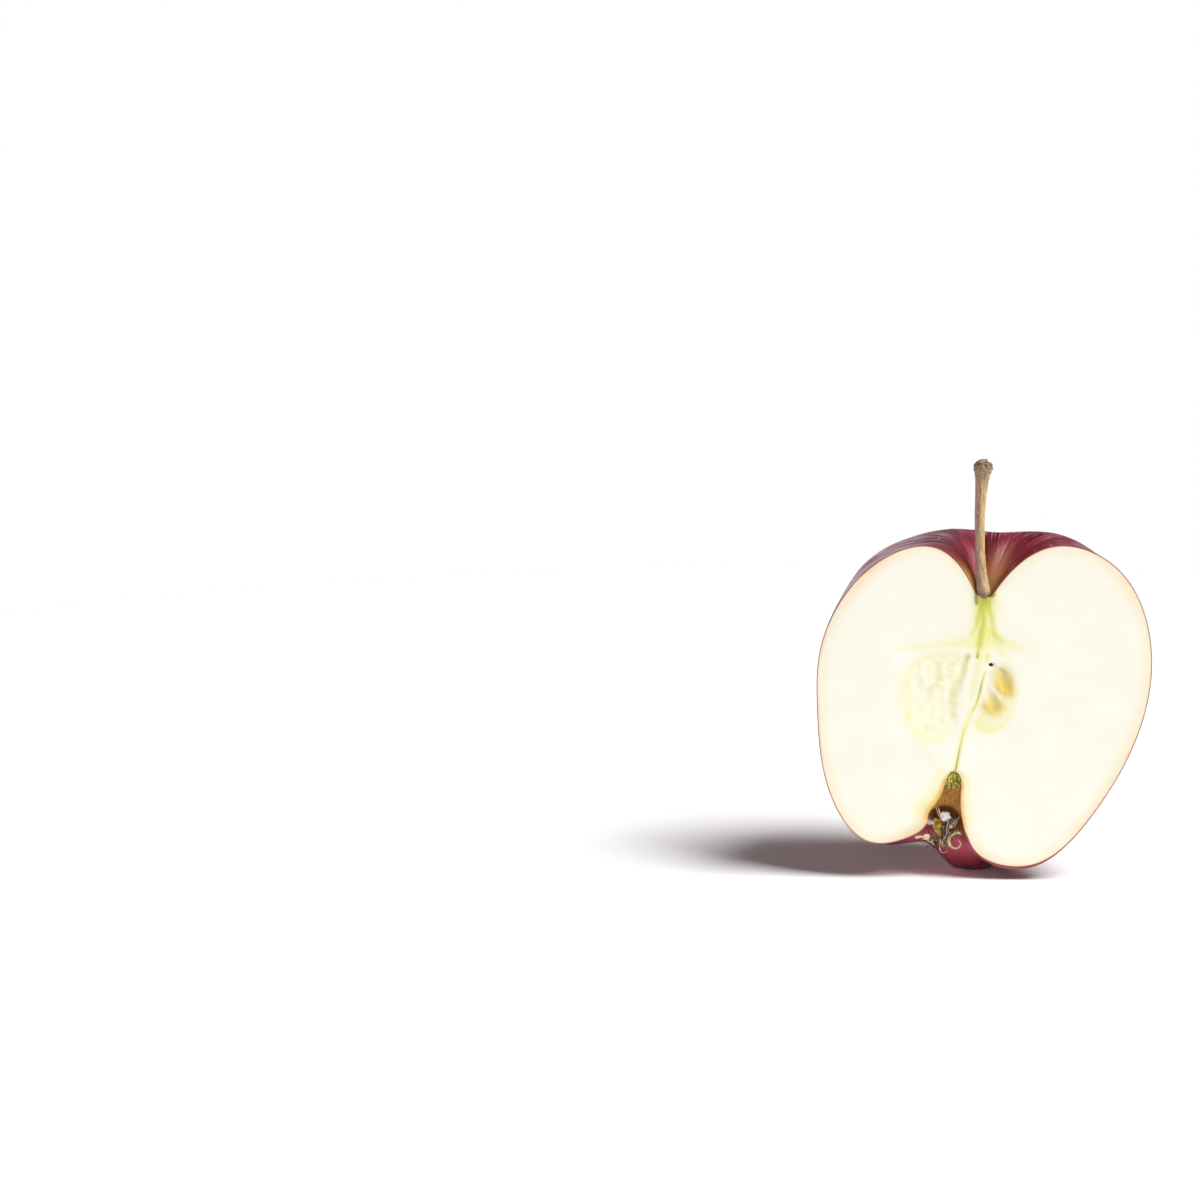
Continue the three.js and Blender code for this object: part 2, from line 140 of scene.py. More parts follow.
# Grey-green folds of the shaved chamber's wall.
SAGE_FOLDS = [
    ([(-1.5, 12.4), (-1.6, 9.4), (-2.1, 6.0), (-2.6, 2.6), (-2.3, -1.5)], 0.72, (1.0, 0.45)),
    ([(-2.6, 7.5), (-3.4, 4.5), (-3.2, 2.2)], 0.80, (0.4, 0.85)),
    ([(-7.5, 9.6), (-7.0, 6.8), (-8.2, 3.4)], 0.90, (0.60, 0.40)),
    ([(-4.6, 10.5), (-5.2, 8.0)], 0.80, (0.45, 0.2)),
]
# Dark slits in the cut: brown, and darker as painted shade in the cracks; at the stalk's foot a painted
# shadow of the gap round it.
DARK_SLITS = [
    ([(-1.85, 27.0), (-1.70, 26.0), (-1.40, 24.8)], 0.40, (1.0, 0.80)),
    ([(1.7, 26.7), (2.3, 27.3)], 0.25, (0.7, 0.8)),
    ([(0.82, 14.2), (0.80, 13.4), (0.82, 12.7)], 0.26, (0.25, 0.85)),
    ([(3.00, 9.4), (2.76, 7.4), (2.70, 5.8)], 0.16, (0.25, 0.75)),
    ([(2.70, 5.9), (2.55, 3.9), (2.30, 2.3), (1.8, 0.6)], 0.18, (0.75, 0.12)),
    ([(0.45, -4.0), (0.3, -9.5), (0.25, -14.2)], 0.14, (0.15, 0.80)),
    ([(6.1, 10.9), (7.0, 10.6), (7.9, 9.9)], 0.16, (0.5, 0.4)),
    ([(-1.1, 12.6), (-1.35, 11.6)], 0.34, (0.30, 0.15)),
    ([(-32.7, 13.3), (-31.9, 13.0)], 0.16, (0.6, 0.5)),
]
WHITE_STREAKS = [([(5.6, 6.2), (6.5, 5.3), (7.4, 4.3)], 0.26, (0.9, 0.8)),
                 ([(-0.1, 11.6), (0.0, 7.0), (0.3, 3.0)], 0.75, (0.25, 0.20)),
                 ([(3.5, 9.2), (3.9, 5.6), (3.5, 3.2)], 0.50, (0.35, 0.25))]

# Stations along the stalk: its middle, and its radius there.
STALK = [((0.1, 2.2, 25.6), 0.80), ((0.0, 1.65, 26.4), 1.40), ((-0.3, 1.05, 27.6), 1.60),
         ((-1.0, 0.9, 30.2), 1.35), ((-2.0, 1.0, 34.1), 1.15), ((-3.1, 1.0, 39.7), 1.10),
         ((-4.0, 1.1, 45.4), 1.15), ((-4.5, 1.1, 50.0), 1.30), ((-4.8, 1.2, 53.4), 1.65),
         ((-4.9, 1.2, 54.7), 2.00), ((-4.95, 1.2, 55.8), 1.95), ((-5.0, 1.2, 56.3), 1.60),
         ((-5.0, 1.2, 56.45), 0.90), ((-5.0, 1.2, 56.2), 0.30)]

SEED_TIP = ((4.13, 0.45, 11.46), (0.50, 0.40, 0.36))

# Dried sepals: middle line, width, taper, ripple, and the way the blade faces.
SEPALS = {
    "sepal_left": ([(-2.9, 2.1, -30.5), (-3.6, 2.0, -30.4), (-4.6, 1.8, -30.4), (-6.1, 1.4, -30.8)],
                   1.6, 1.5, 0.25, (0.1, -0.9, -0.4)),
    "sepal_front": ([(-1.2, 4.2, -30.0), (-2.2, 3.5, -30.6), (-2.1, 2.9, -31.3), (-1.4, 2.6, -31.7)],
                    1.5, 1.5, 0.25, (-0.4, -0.8, 0.2)),
    "sepal_folded": ([(-0.9, 3.3, -26.2), (-1.1, 2.7, -27.4), (-0.9, 2.4, -28.6), (-0.6, 2.5, -29.7)],
                     3.2, 1.5, 0.35, (0, -1, -0.2)),
    "sepal_right": ([(4.1, 2.4, -28.1), (3.1, 2.2, -28.2), (2.1, 2.0, -28.9), (1.6, 1.8, -30.2),
                     (2.1, 1.6, -31.4), (3.2, 1.5, -31.8), (4.2, 1.5, -31.3), (4.3, 1.6, -30.4),
                     (3.8, 1.7, -29.9)], 1.3, 0.35, 0.08, (0, -1, 0.25)),
    "sepal_curl": ([(0.3, 4.6, -31.0), (-0.3, 3.6, -31.9), (0.1, 2.9, -33.0), (0.8, 2.6, -33.5),
                    (1.8, 2.5, -33.0)], 0.6, 0.6, 0.06, (0, -1, 0.2)),
}
SEPAL_THICK = 0.30
UNLIKE_SEPALS = {"sepal_folded": ("ochre_sepal", "folded_sepal"), "sepal_right": ("lime_sepal", "sepal")}

TUFT_AT, TUFT_HALF = (-0.1, 2.2, -24.9), (1.1, 0.8, 0.92)
RIM_DOWN_AT, RIM_DOWN_HALF = (-3.4, 1.2, -26.5), (1.1, 0.35, 0.55)
# Hairs: how many, seed, roots as shares of the half size, lengths, radius.
TUFT_HAIRS = (300, 51, (0.8, 1.0), (0.12, 0.55), 0.018)
RIM_HAIRS = (480, 52, (0.0, 1.0), (0.05, 0.25), 0.020)
STAMEN_RADIUS = 0.34
STAMENS = [
    [(1.7, 3.4, -25.9), (1.6, 2.9, -27.4), (1.1, 2.6, -29.2), (0.7, 2.3, -31.2), (0.5, 2.1, -32.0)],
    [(1.1, 3.5, -27.0), (1.1, 2.9, -28.5), (0.8, 2.3, -29.6), (1.2, 1.9, -30.9)],
    [(1.4, 2.8, -28.0), (1.8, 2.2, -26.6), (2.5, 1.9, -25.0)],
    [(1.0, 2.5, -29.4), (0.3, 2.1, -30.2), (0.1, 1.9, -31.1)],
]
# Thin pale threads in the calyx: points and radius.
THREADS = [
    ([(-1.9, 2.6, -23.3), (-1.6, 1.8, -24.1), (-1.0, 1.3, -25.4)], 0.12),
    ([(-2.6, 2.4, -23.0), (-2.1, 1.7, -24.0), (-1.6, 1.4, -25.0)], 0.08),
    ([(2.6, 2.2, -25.2), (1.9, 1.6, -26.0), (1.4, 1.4, -27.2), (1.9, 1.5, -26.9), (2.7, 1.9, -25.6)], 0.13),
    ([(0.9, 1.9, -25.6), (0.6, 1.4, -27.2), (0.7, 1.3, -28.6)], 0.10),
    ([(3.0, 2.0, -24.5), (2.6, 1.5, -25.9), (2.1, 1.3, -27.0)], 0.09),
    ([(1.7, 2.2, -25.2), (1.2, 1.6, -26.9), (0.9, 1.4, -28.6), (0.3, 1.5, -30.2)], 0.08),
    ([(0.3, 2.0, -29.0), (0.1, 1.6, -30.4), (0.3, 1.4, -31.9)], 0.09),
    ([(-0.5, 2.2, -29.6), (-0.3, 1.6, -30.8), (0.2, 1.4, -31.5)], 0.08),
    ([(1.6, 1.9, -28.4), (1.3, 1.5, -29.6), (1.5, 1.4, -30.9)], 0.08),
    ([(-1.8, 1.9, -30.4), (-2.3, 1.4, -31.2), (-1.6, 1.2, -31.7)], 0.11),
    ([(-3.0, 2.0, -29.8), (-3.3, 1.4, -30.8), (-2.5, 1.2, -31.2)], 0.10),
]
# Dark withered threads between them, nearly black, also as painted shade in the gaps of the calyx.
DARK_THREADS = [
    ([(1.9, 2.4, -24.9), (1.5, 1.9, -26.3), (0.7, 1.7, -27.9), (0.2, 1.6, -29.6), (-0.1, 1.5, -31.2)], 0.13),
    ([(2.6, 2.3, -25.4), (1.9, 1.8, -26.9), (1.3, 1.6, -28.6), (1.0, 1.5, -30.6)], 0.12),
    ([(-2.6, 2.0, -29.3), (-1.8, 1.6, -30.3), (-1.0, 1.5, -31.0)], 0.12),
    ([(-3.6, 2.0, -28.8), (-2.9, 1.6, -29.4), (-1.9, 1.6, -29.8)], 0.10),
    ([(0.3, 2.2, -26.4), (0.3, 1.8, -27.6), (-0.2, 1.6, -28.9), (-0.6, 1.6, -30.4)], 0.10),
]
# Boxes of withered scraps between the sepals: the right one and the left one.
LITTER_RIGHT = ((-0.6, 1.6, -31.2), (2.4, 3.0, -26.4))
LITTER_LEFT = ((-3.2, 1.7, -32.0), (-0.4, 2.9, -29.4))
# A box of scraps, how many, seed.
# the dark scraps also stand as painted shade deep in the calyx
DARK_LITTER = [(LITTER_RIGHT, 34, 90), (LITTER_LEFT, 22, 130)]
GREY_LITTER = [(LITTER_RIGHT, 16, 160), (LITTER_LEFT, 12, 190)]
# Green tissue fills the top of the calyx tube: lowest and highest (x, z) of its lumps.
GREEN_FROM, GREEN_TO = (-1.8, -18.1), (2.3, -13.9)
GREEN_SEED = 60

# ---- numbers and curves --------------------------------------------------------------------------

TINY = 1e-9                              # keeps a length of 0 from being divided by


def bell(value, centre, width):
    """exp(-((value - centre) / width) squared)."""
    return np.exp(-((value - centre) / width) ** 2)


def rise(value):
    """A smooth step from 0 to 1 as value goes from far below 0 to far above: 1 / (1 + exp(-value))."""
    return 1 / (1 + np.exp(-np.clip(value, -60, 60)))


def blend(a, b, share):
    """a where share is 0 and b where it is 1, in a straight line between."""
    return a + (b - a) * share


def on_grid(*parts):
    """Points whose coordinates are the parts, each stretched to the shape they share."""
    return np.stack(np.broadcast_arrays(*parts), -1)


def edge_of_cut(controls, t):
    """Clamped uniform cubic B-spline: the sum of its control points, each weighed by its basis
    function, which the Cox-de Boor recurrence builds up from steps of degree 0."""
    controls = np.array(controls, float)
    count, degree = len(controls), 3
    knots = np.r_[np.zeros(degree), np.linspace(0, 1, count - degree + 1), np.ones(degree)]
    t = np.clip(t, 0, 1 - 1e-12)
    basis = [((knots[i] <= t) & (t < knots[i + 1])).astype(float) for i in range(count + degree)]
    for d in range(1, degree + 1):
        for i in range(count + degree - d):
            before, after = knots[i + d] - knots[i], knots[i + d + 1] - knots[i + 1]
            left = (t - knots[i]) / before * basis[i] if before else 0
            right = (knots[i + d + 1] - t) / after * basis[i + 1] if after else 0
            basis[i] = left + right
    return np.stack(basis[:count], -1) @ controls


def smooth_line(points, u):
    """Catmull-Rom curve through the points, u from 0 to 1: on each piece a cubic whose slope at a
    point is half the step from the point before it to the one after."""
    p = np.array(points, float)
    p = np.vstack([2 * p[0] - p[1], p, 2 * p[-1] - p[-2]])
    at = np.clip(np.asarray(u, float), 0, 1) * (len(p) - 3)
    i = np.minimum(at.astype(int), len(p) - 4)
    f = (at - i)[..., None]
    a, b, c, d = p[i], p[i + 1], p[i + 2], p[i + 3]
    return 0.5 * (2 * b + (c - a) * f + (2 * a - 5 * b + 4 * c - d) * f**2 + (3 * b - a - 3 * c + d) * f**3)


def lumps(points, size, seed):
    """A random field, mostly between -1 and 1: 40 plane waves about size mm long, in random
    directions and phases, added up."""
    draw = np.random.default_rng(seed)
    ways = draw.normal(size=(points.shape[-1], 40))
    ways *= 2 * np.pi / size * draw.uniform(0.7, 1.4, 40) / np.linalg.norm(ways, axis=0)
    return np.cos(points @ ways + draw.uniform(0, 2 * np.pi, 40)).sum(-1) / 40**0.5


def relief(points, kind):
    """lumps() of a kind that gives its height, size and seed."""
    high, size, seed = kind
    return high * lumps(points, size, seed)


def to_line(points, line):
    """(distance from each point to the curve through line, how far along it the nearest spot is)."""
    curve = smooth_line(line, np.linspace(0, 1, 25))
    near, along = np.full(points.shape[:-1], 1e9), np.zeros(points.shape[:-1])
    for i, (a, b) in enumerate(zip(curve[:-1], curve[1:])):
        share = np.clip(((points - a) @ (b - a)) / ((b - a) @ (b - a)), 0, 1)
        away = np.linalg.norm(points - a - share[..., None] * (b - a), axis=-1)
        closer = away < near
        near = np.where(closer, away, near)
        along = np.where(closer, (i + share) / (len(curve) - 1), along)
    return near, along


def drawn(points, lines):
    """The strongest of the lines at each point: a bell across each line, times its strength there."""
    most = np.zeros(points.shape[:-1])
    for line, half, (start, end) in lines:
        away, along = to_line(points, line)
        most = np.maximum(most, bell(away, 0, half) * blend(start, end, along))
    return most


def depth_in(points, outline):
    """Distance in mm from a closed outline, above 0 inside it. A point is inside if a ray to its
    right crosses the outline an odd number of times."""
    loop = smooth_line(list(outline) + [outline[0]], np.linspace(0, 1, 80))
    near, crossings = np.full(points.shape[:-1], 1e9), np.zeros(points.shape[:-1], int)
    for a, b in zip(loop[:-1], loop[1:]):
        share = np.clip(((points - a) @ (b - a)) / ((b - a) @ (b - a) + 1e-12), 0, 1)
        near = np.minimum(near, np.linalg.norm(points - a - share[..., None] * (b - a), axis=-1))
        spans = (a[1] > points[..., 1]) != (b[1] > points[..., 1])
        meets = a[0] + (points[..., 1] - a[1]) * (b[0] - a[0]) / (b[1] - a[1] + 1e-12)
        crossings += spans & (points[..., 0] < meets)
    return np.where(crossings % 2 == 1, near, -near)


def to_part(points):
    """Fruit frame in mm to part frame in mm: a turn by TILT about Y, then the step to CORE_AT."""
    x, y, z = np.moveaxis(points, -1, 0)
    return np.stack([x * math.cos(TILT) + z * math.sin(TILT) + CORE_AT[0], y + CORE_AT[1],
                     z * math.cos(TILT) - x * math.sin(TILT) + CORE_AT[2]], -1)


# ---- meshes --------------------------------------------------------------------------------------


def closed_body(name, stacks, looks, replaced=(), poles=None):
    """One mesh of closed bodies. Each stack is (rings, points in a ring, 3): four-sided faces join
    neighbouring rings, and a fan to the ring's middle, or to a given pole, closes either end. Going
    round a ring and then along the stack has the outside on the right-hand side. The floor presses
    flat what would be below it."""
    vertices, faces, base = [], [], 0
    for rings in stacks:
        count, sides = rings.shape[:2]
        ends = np.array(poles) if poles is not None else rings[[0, -1]].mean(1)
        vertices.append(np.vstack([rings.reshape(-1, 3), ends]))
        here = base + np.arange(count * sides).reshape(count, sides)
        turn = np.roll(here, -1, axis=1)
        faces += np.stack([here[:-1], turn[:-1], turn[1:], here[1:]], -1).reshape(-1, 4).tolist()
        first, last = base + count * sides, base + count * sides + 1
        faces += np.stack([turn[0], here[0], np.full(sides, first)], -1).tolist()
        faces += np.stack([here[-1], turn[-1], np.full(sides, last)], -1).tolist()
        base += count * sides + 2
    placed = to_part(np.vstack(vertices))
    placed[:, 2] = np.maximum(placed[:, 2], 0)
    mesh = bpy.data.meshes.new(name)
    mesh.from_pydata(placed / 1000, [], faces)
    mesh.shade_smooth()
    for look in looks:
        mesh.materials.append(look)
    piece = bpy.data.objects.new(name, mesh)
    bpy.context.scene.collection.objects.link(piece)
    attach(piece, "root")
    if replaced:
        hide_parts(*replaced)
    return piece


def give(piece, name, values):
    """A number at each vertex, for the material to read by name."""
    piece.data.attributes.new(name, "FLOAT", "POINT").data.foreach_set("value", np.ravel(values))


def tube(line, radius, along, around):
    """Rings carried along a smooth line: middle + radius(u, angle) x (cos angle across + sin angle
    front), where across is at right angles to Y and to the line."""
    u = np.linspace(0, 1, along)
    middle = smooth_line(line, u)
    tangent = np.gradient(middle, axis=0)
    tangent /= np.linalg.norm(tangent, axis=1)[:, None]
    across = np.cross((0, 1, 0), tangent)
    across /= np.linalg.norm(across, axis=1)[:, None] + TINY
    front = np.cross(tangent, across)
    angle = np.linspace(0, 2 * np.pi, around, endpoint=False)
    spoke = np.cos(angle)[None, :, None] * across[:, None] + np.sin(angle)[None, :, None] * front[:, None]
    reach = np.broadcast_to(radius(u[:, None], angle[None]), (along, around))
    return middle[:, None] + reach[..., None] * spoke


def egg(middle, half, rough, grain, seed, around=28, along=20):
    """An ellipsoid whose surface is pushed in and out by the random field lumps(). It is closed
    0.02 of a radian short of either pole."""
    down = np.linspace(0.02, np.pi - 0.02, along)[:, None]
    turn = np.linspace(0, 2 * np.pi, around, endpoint=False)[None]
    way = on_grid(np.sin(down) * np.cos(turn), np.sin(down) * np.sin(turn), -np.cos(down))
    return np.array(middle) + np.array(half) * way * (1 + rough * lumps(way, grain, seed))[..., None]


# ---- the fruit -----------------------------------------------------------------------------------


def skin(phi, t):
    """The skin at angle phi round the core axis and station t along the meridian. The radius and
    height blend from the right edge's to the left edge's by (1 - cos phi) / 2. Five lobes, written
    as cos(5 (phi - turn)), swell the flank, crown and foot; the foot drops where the half stands,
    one shoulder is fuller, and the calyx cavity steps back under the tube."""
    to_left = (1 - np.cos(phi)) / 2
    right, left = edge_of_cut(RIGHT_EDGE, t), edge_of_cut(LEFT_EDGE, t)
    r = blend(right[..., 0], left[..., 0], to_left)
    z = blend(right[..., 1], left[..., 1], to_left)
    crown, foot = bell(t, CROWN, CROWN_WIDTH), bell(t, FOOT, FOOT_WIDTH)
    body = rise((t - BODY_FROM) / BODY_EDGE) * rise((BODY_TO - t) / BODY_EDGE)
    turn = blend(LOBE_AT_CROWN, LOBE_AT_FOOT, np.clip((t - CROWN) / (FOOT - CROWN), 0, 1))
    at_cut = blend(np.cos(LOBES * turn), np.cos(LOBES * (np.pi - turn)), to_left)
    lobe = np.cos(LOBES * (phi - turn)) - at_cut
    r = r + lobe * (BODY_LOBE * body + CROWN_LOBE_OUT * crown + FOOT_LOBE_OUT * foot)
    z = z + lobe * (CROWN_LOBE_UP * crown - FOOT_LOBE_DOWN * foot)
    back = np.maximum(np.sin(phi), 0)
    z = z + REAR_RISE * back * crown - STANDING_DROP * bell(phi, LOBE_AT_FOOT, STANDING_SPREAD) * foot
    swell = SHOULDER * back**0.8 * bell(phi, SHOULDER_AT, SHOULDER_SPREAD)
    swell = swell * bell(t, SHOULDER_STATION, SHOULDER_WIDTH)
    r, z = r + SHOULDER_OUT * swell, z + SHOULDER_UP * swell
    roof = blend(ROOF_SIDE, ROOF_MIDDLE, back)
    hollow = rise((roof - t) / ROOF_EDGE) * rise((t - MOUTH) / MOUTH_EDGE)
    return np.stack([r * np.cos(phi), back * (r * DEPTH_RATIO + CAVITY_DEEP * hollow), z], -1)


def cut_depth(flat):
    """How far the cut face lies behind the knife's plane at (x, z): the hollows of the seed
    chambers and the pip's pit are bowls, (1 - q) to the power 1.5, the shaved chamber is a shallow
    crackled dish, the slits are fine grooves, and the knife left a slow waviness."""
    deep = CUT_BACK + relief(flat, KNIFE_WAVES)
    for (x, z), (wide, depth, high), lean in [*OCHRE_CHAMBERS, PIP_PIT]:
        a = math.radians(lean)
        dx, dz = flat[..., 0] - x, flat[..., 1] - z
        q = ((dx * math.cos(a) - dz * math.sin(a)) / wide) ** 2
        q = q + ((dx * math.sin(a) + dz * math.cos(a)) / high) ** 2
        deep = deep + depth * np.clip(1 - q, 0, 1) ** 1.5
    dish = rise(depth_in(flat, SHAVED_CHAMBER) / SHAVED_EDGE)
    deep = deep + dish * (SHAVED_DEEP + relief(flat, CHAMBER_CRUMBS) + relief(flat, CHAMBER_FOLDS))
    return deep + SLIT_DEEP * drawn(flat, DARK_SLITS) + STREAK_DEEP * drawn(flat, WHITE_STREAKS)


SKIN_STEPS = 140
# Shares of the way from the core axis to the skin: 0.2 mm steps in the core, 0.5 mm in the seed
# chambers, coarse in the plain flesh and fine again at the skin.
RIB_STEPS = np.r_[np.linspace(0, 0.07, 21), np.linspace(0.07, 0.27, 23)[1:], np.linspace(0.27, 0.9, 19)[1:],
                  0.93, 0.955, 0.972, 0.984, 0.992, 0.9965, 1.0]
CUT_COLUMNS = 2 * len(RIB_STEPS) - 3     # two ribs share the axis, and the skin has their outer ends
# From the calyx tube (1) up to the stalk's pit (0), closer together where the shapes are small.
STATIONS = np.r_[np.linspace(1, 0.70, 112), np.linspace(0.70, 0.60, 24)[1:],
                 np.linspace(0.60, 0.22, 92)[1:], np.linspace(0.22, 0, 76)[1:]][1:-1]
SLOPE_STEP = 1e-4
RIB_CROWDING = 0.2                       # ribs stand closer at either end of the core axis
RIB_BEND, RIB_BEND_MOST = 0.3, 8.0       # the last leg: a share of the rib's length, and mm at most


def ribs(controls, side):
    """One half of the cut face, from the core axis out to the skin, and each point's distance from
    the skin. Each rib is a quadratic Bezier curve whose last leg meets the skin squarely, so the
    ribs go round the pit and the tube."""
    edge = edge_of_cut(controls, STATIONS)
    slope = edge_of_cut(controls, STATIONS + SLOPE_STEP) - edge_of_cut(controls, STATIONS - SLOPE_STEP)
    inward = np.stack([slope[:, 1], -slope[:, 0]], -1) / np.linalg.norm(slope, axis=1)[:, None]
    down = STATIONS - RIB_CROWDING * np.sin(2 * np.pi * STATIONS) / (2 * np.pi)
    core = np.stack([0 * STATIONS, blend(CORE_TOP, CORE_FOOT, down)], -1)
    reach = np.minimum(RIB_BEND * np.linalg.norm(edge - core, axis=1), RIB_BEND_MOST)[:, None]
    bend = edge + inward * reach
    s = RIB_STEPS[None, :, None]
    flat = (1 - s) ** 2 * core[:, None] + 2 * s * (1 - s) * bend[:, None] + s**2 * edge[:, None]
    to_skin = np.linalg.norm(flat - edge[:, None], axis=-1)
    return flat * (side, 1), to_skin


def skin_marks(phi, t):
    """How far each coat covers the skin, 0 to 1, at angle phi and station t: bells and smooth steps
    down the meridian, by station, times bells and steps round the fruit, in degrees."""
    def above(station, width):
        return rise((station - t) / width)

    def facing(degrees, width):
        return bell(phi, math.radians(degrees), math.radians(width))

    rear = facing(70, 34)
    roof = blend(ROOF_SIDE, ROOF_MIDDLE, np.maximum(np.sin(phi), 0)) + 0.006
    on_left_shoulder = rise((phi - math.radians(122)) / math.radians(9))
    rim_left, rim_right = bell(t, 0.770, 0.022) * facing(180, 28), bell(t, 0.69, 0.05) * facing(0, 13)
    return {
        # the stalk's pit: russet and olive reach further up its back
        "russet": above(blend(0.095, 0.124, rear), 0.012),
        "olive": above(blend(0.078, 0.088, rear), 0.006),
        # the calyx: its tube, the cavity under it and the basin round it
        "tube": rise((t - 0.755) / 0.006),
        # brown cork in the cavity, darkened under the tube's roof as painted shade
        "cavity": rise((t - 0.760) / 0.010) * above(roof, 0.006),
        # pinker skin round the calyx, brightened there as painted sheen, less of it on the left
        "basin": bell(t, 0.70, 0.045) * (1 - 0.7 * facing(180, 40)),
        "crown": bell(t, *WRINKLED_CROWN),
        # whitish wax film and painted sheen: pale lilac streaks on the left shoulder
        "bloom_and_sheen": on_left_shoulder * bell(t, 0.250, 0.060),
        # painted highlights: fine pale lines along the crown's wrinkles
        "wrinkle_highlights": bell(t, 0.190, 0.026) * rise((math.radians(150) - phi) / 0.2),
        "amber": facing(180, 30) * above(0.118, 0.010),
        # pale pink at the tube's left rim, and a painted highlight on the right lobe's edge by the cut
        "lip_and_highlight": rim_left + 0.55 * rim_right,
        # painted light on the lit left wall of the calyx tube
        "lit_tube_wall": bell(t, 0.845, 0.045) * bell(phi, math.pi, 0.75),
        "chip": facing(19.5, 5.5) * bell(t, 0.115, 0.0060),
        "skinned": above(*SKIN_ENDS),
    }


def cut_marks(flat, t, to_skin):
    """How far each coat covers the cut face, 0 to 1, at (x, z) on the rib of station t; to_skin is
    in mm. Distances from the drawn lines and outlines, in mm, make the core's; the coats along the
    skin are bells of the station and of the distance from the skin."""
    x, z = flat[..., 0], flat[..., 1]
    left = x < 0
    stains = []
    for outline, palest in OCHRE_STAINS:
        deeper = 0.40 + 0.12 * np.linalg.norm(flat - palest, axis=-1)
        stains.append(rise((depth_in(flat, outline) + 0.25) / 0.45) * deeper)
    inside = depth_in(flat, SHAVED_CHAMBER)
    lower_left = rise((-4.0 - x) / 2.0) * rise((7.0 - z) / 2.0)
    ring = 0.50 * bell(inside, 0.0, 0.32) + (0.16 + 0.24 * lower_left) * bell(inside, -0.2, 1.3)
    calyx_lip_shade = np.where(left, bell(t, 0.715, 0.065), 0.35 * bell(t, 0.69, 0.05))
    in_tube = rise((t - 0.765) / 0.010) * rise((-15.8 - z) / 0.6)
    return {
        "to_skin": to_skin,
        "lime": drawn(flat, LIME_VEINS),
        "straw": drawn(flat, STRAW_LINES),
        # dark cracks, their darkness partly painted shade
        "slit_shade": drawn(flat, DARK_SLITS),
        "milk": drawn(flat, WHITE_STREAKS),
        "ochre": np.clip(np.maximum(*stains), 0, 1),
        "sage": drawn(flat, SAGE_FOLDS),
        "shaved": rise(inside / 0.30),
        "shaved_rim": ring * rise((-2.6 - x) / 0.5),
        "skinned": rise((SKIN_ENDS[0] - t) / SKIN_ENDS[1]),
        # painted shade: darker yellow flesh by the calyx basin's edge, most on the left
        "calyx_lip_shade": calyx_lip_shade * bell(to_skin, 0, 1.9),
        "halo": in_tube * bell(to_skin, 0, np.where(left, 1.0, 0.7)),
        "root": bell(x, 0.1, 1.6) * rise((z - 24.6) / 0.6),
        "blush": np.where(left, bell(t, 0.255, 0.045) + 0.35 * bell(t, 0.55, 0.07),
                          0.9 * bell(t, 0.265, 0.035) + 0.45 * bell(t, 0.46, 0.13)),
    }


def spread(on_skin, on_cut, at_poles=(0, 0)):
    """One value a vertex, in the mesh's order: the rings, then the tube's pole and the pit's."""
    rings = np.empty((len(STATIONS), SKIN_STEPS + 1 + CUT_COLUMNS))
    rings[:, :SKIN_STEPS + 1] = on_skin
    rings[:, SKIN_STEPS + 1:] = on_cut
    return np.r_[rings.ravel(), at_poles]


def knife_edge(mesh, column, corner):
    """The cut's faces take the second material, and the edge where the knife went through the skin
    is crisp. column is each vertex's place in its ring, and corner is the vertex at each corner of
    a face, whose first two corners lie in one ring."""
    edges = np.empty(len(mesh.edges) * 2, int)
    mesh.edges.foreach_get("vertices", edges)
    ends = column[edges.reshape(-1, 2)]
    rim = (ends[:, 0] == ends[:, 1]) & np.isin(ends[:, 0], (0, SKIN_STEPS))
    mesh.attributes.new("sharp_edge", "BOOLEAN", "EDGE").data.foreach_set("value", rim)
    starts = np.empty(len(mesh.polygons), int)
    mesh.polygons.foreach_get("loop_start", starts)
    first = np.stack([column[corner[starts]], column[corner[starts + 1]]])
    cut = (first.max(0) > SKIN_STEPS) | ((first.min(0) == 0) & (first.max(0) != 1))
    mesh.polygons.foreach_set("material_index", cut.astype(np.int32))


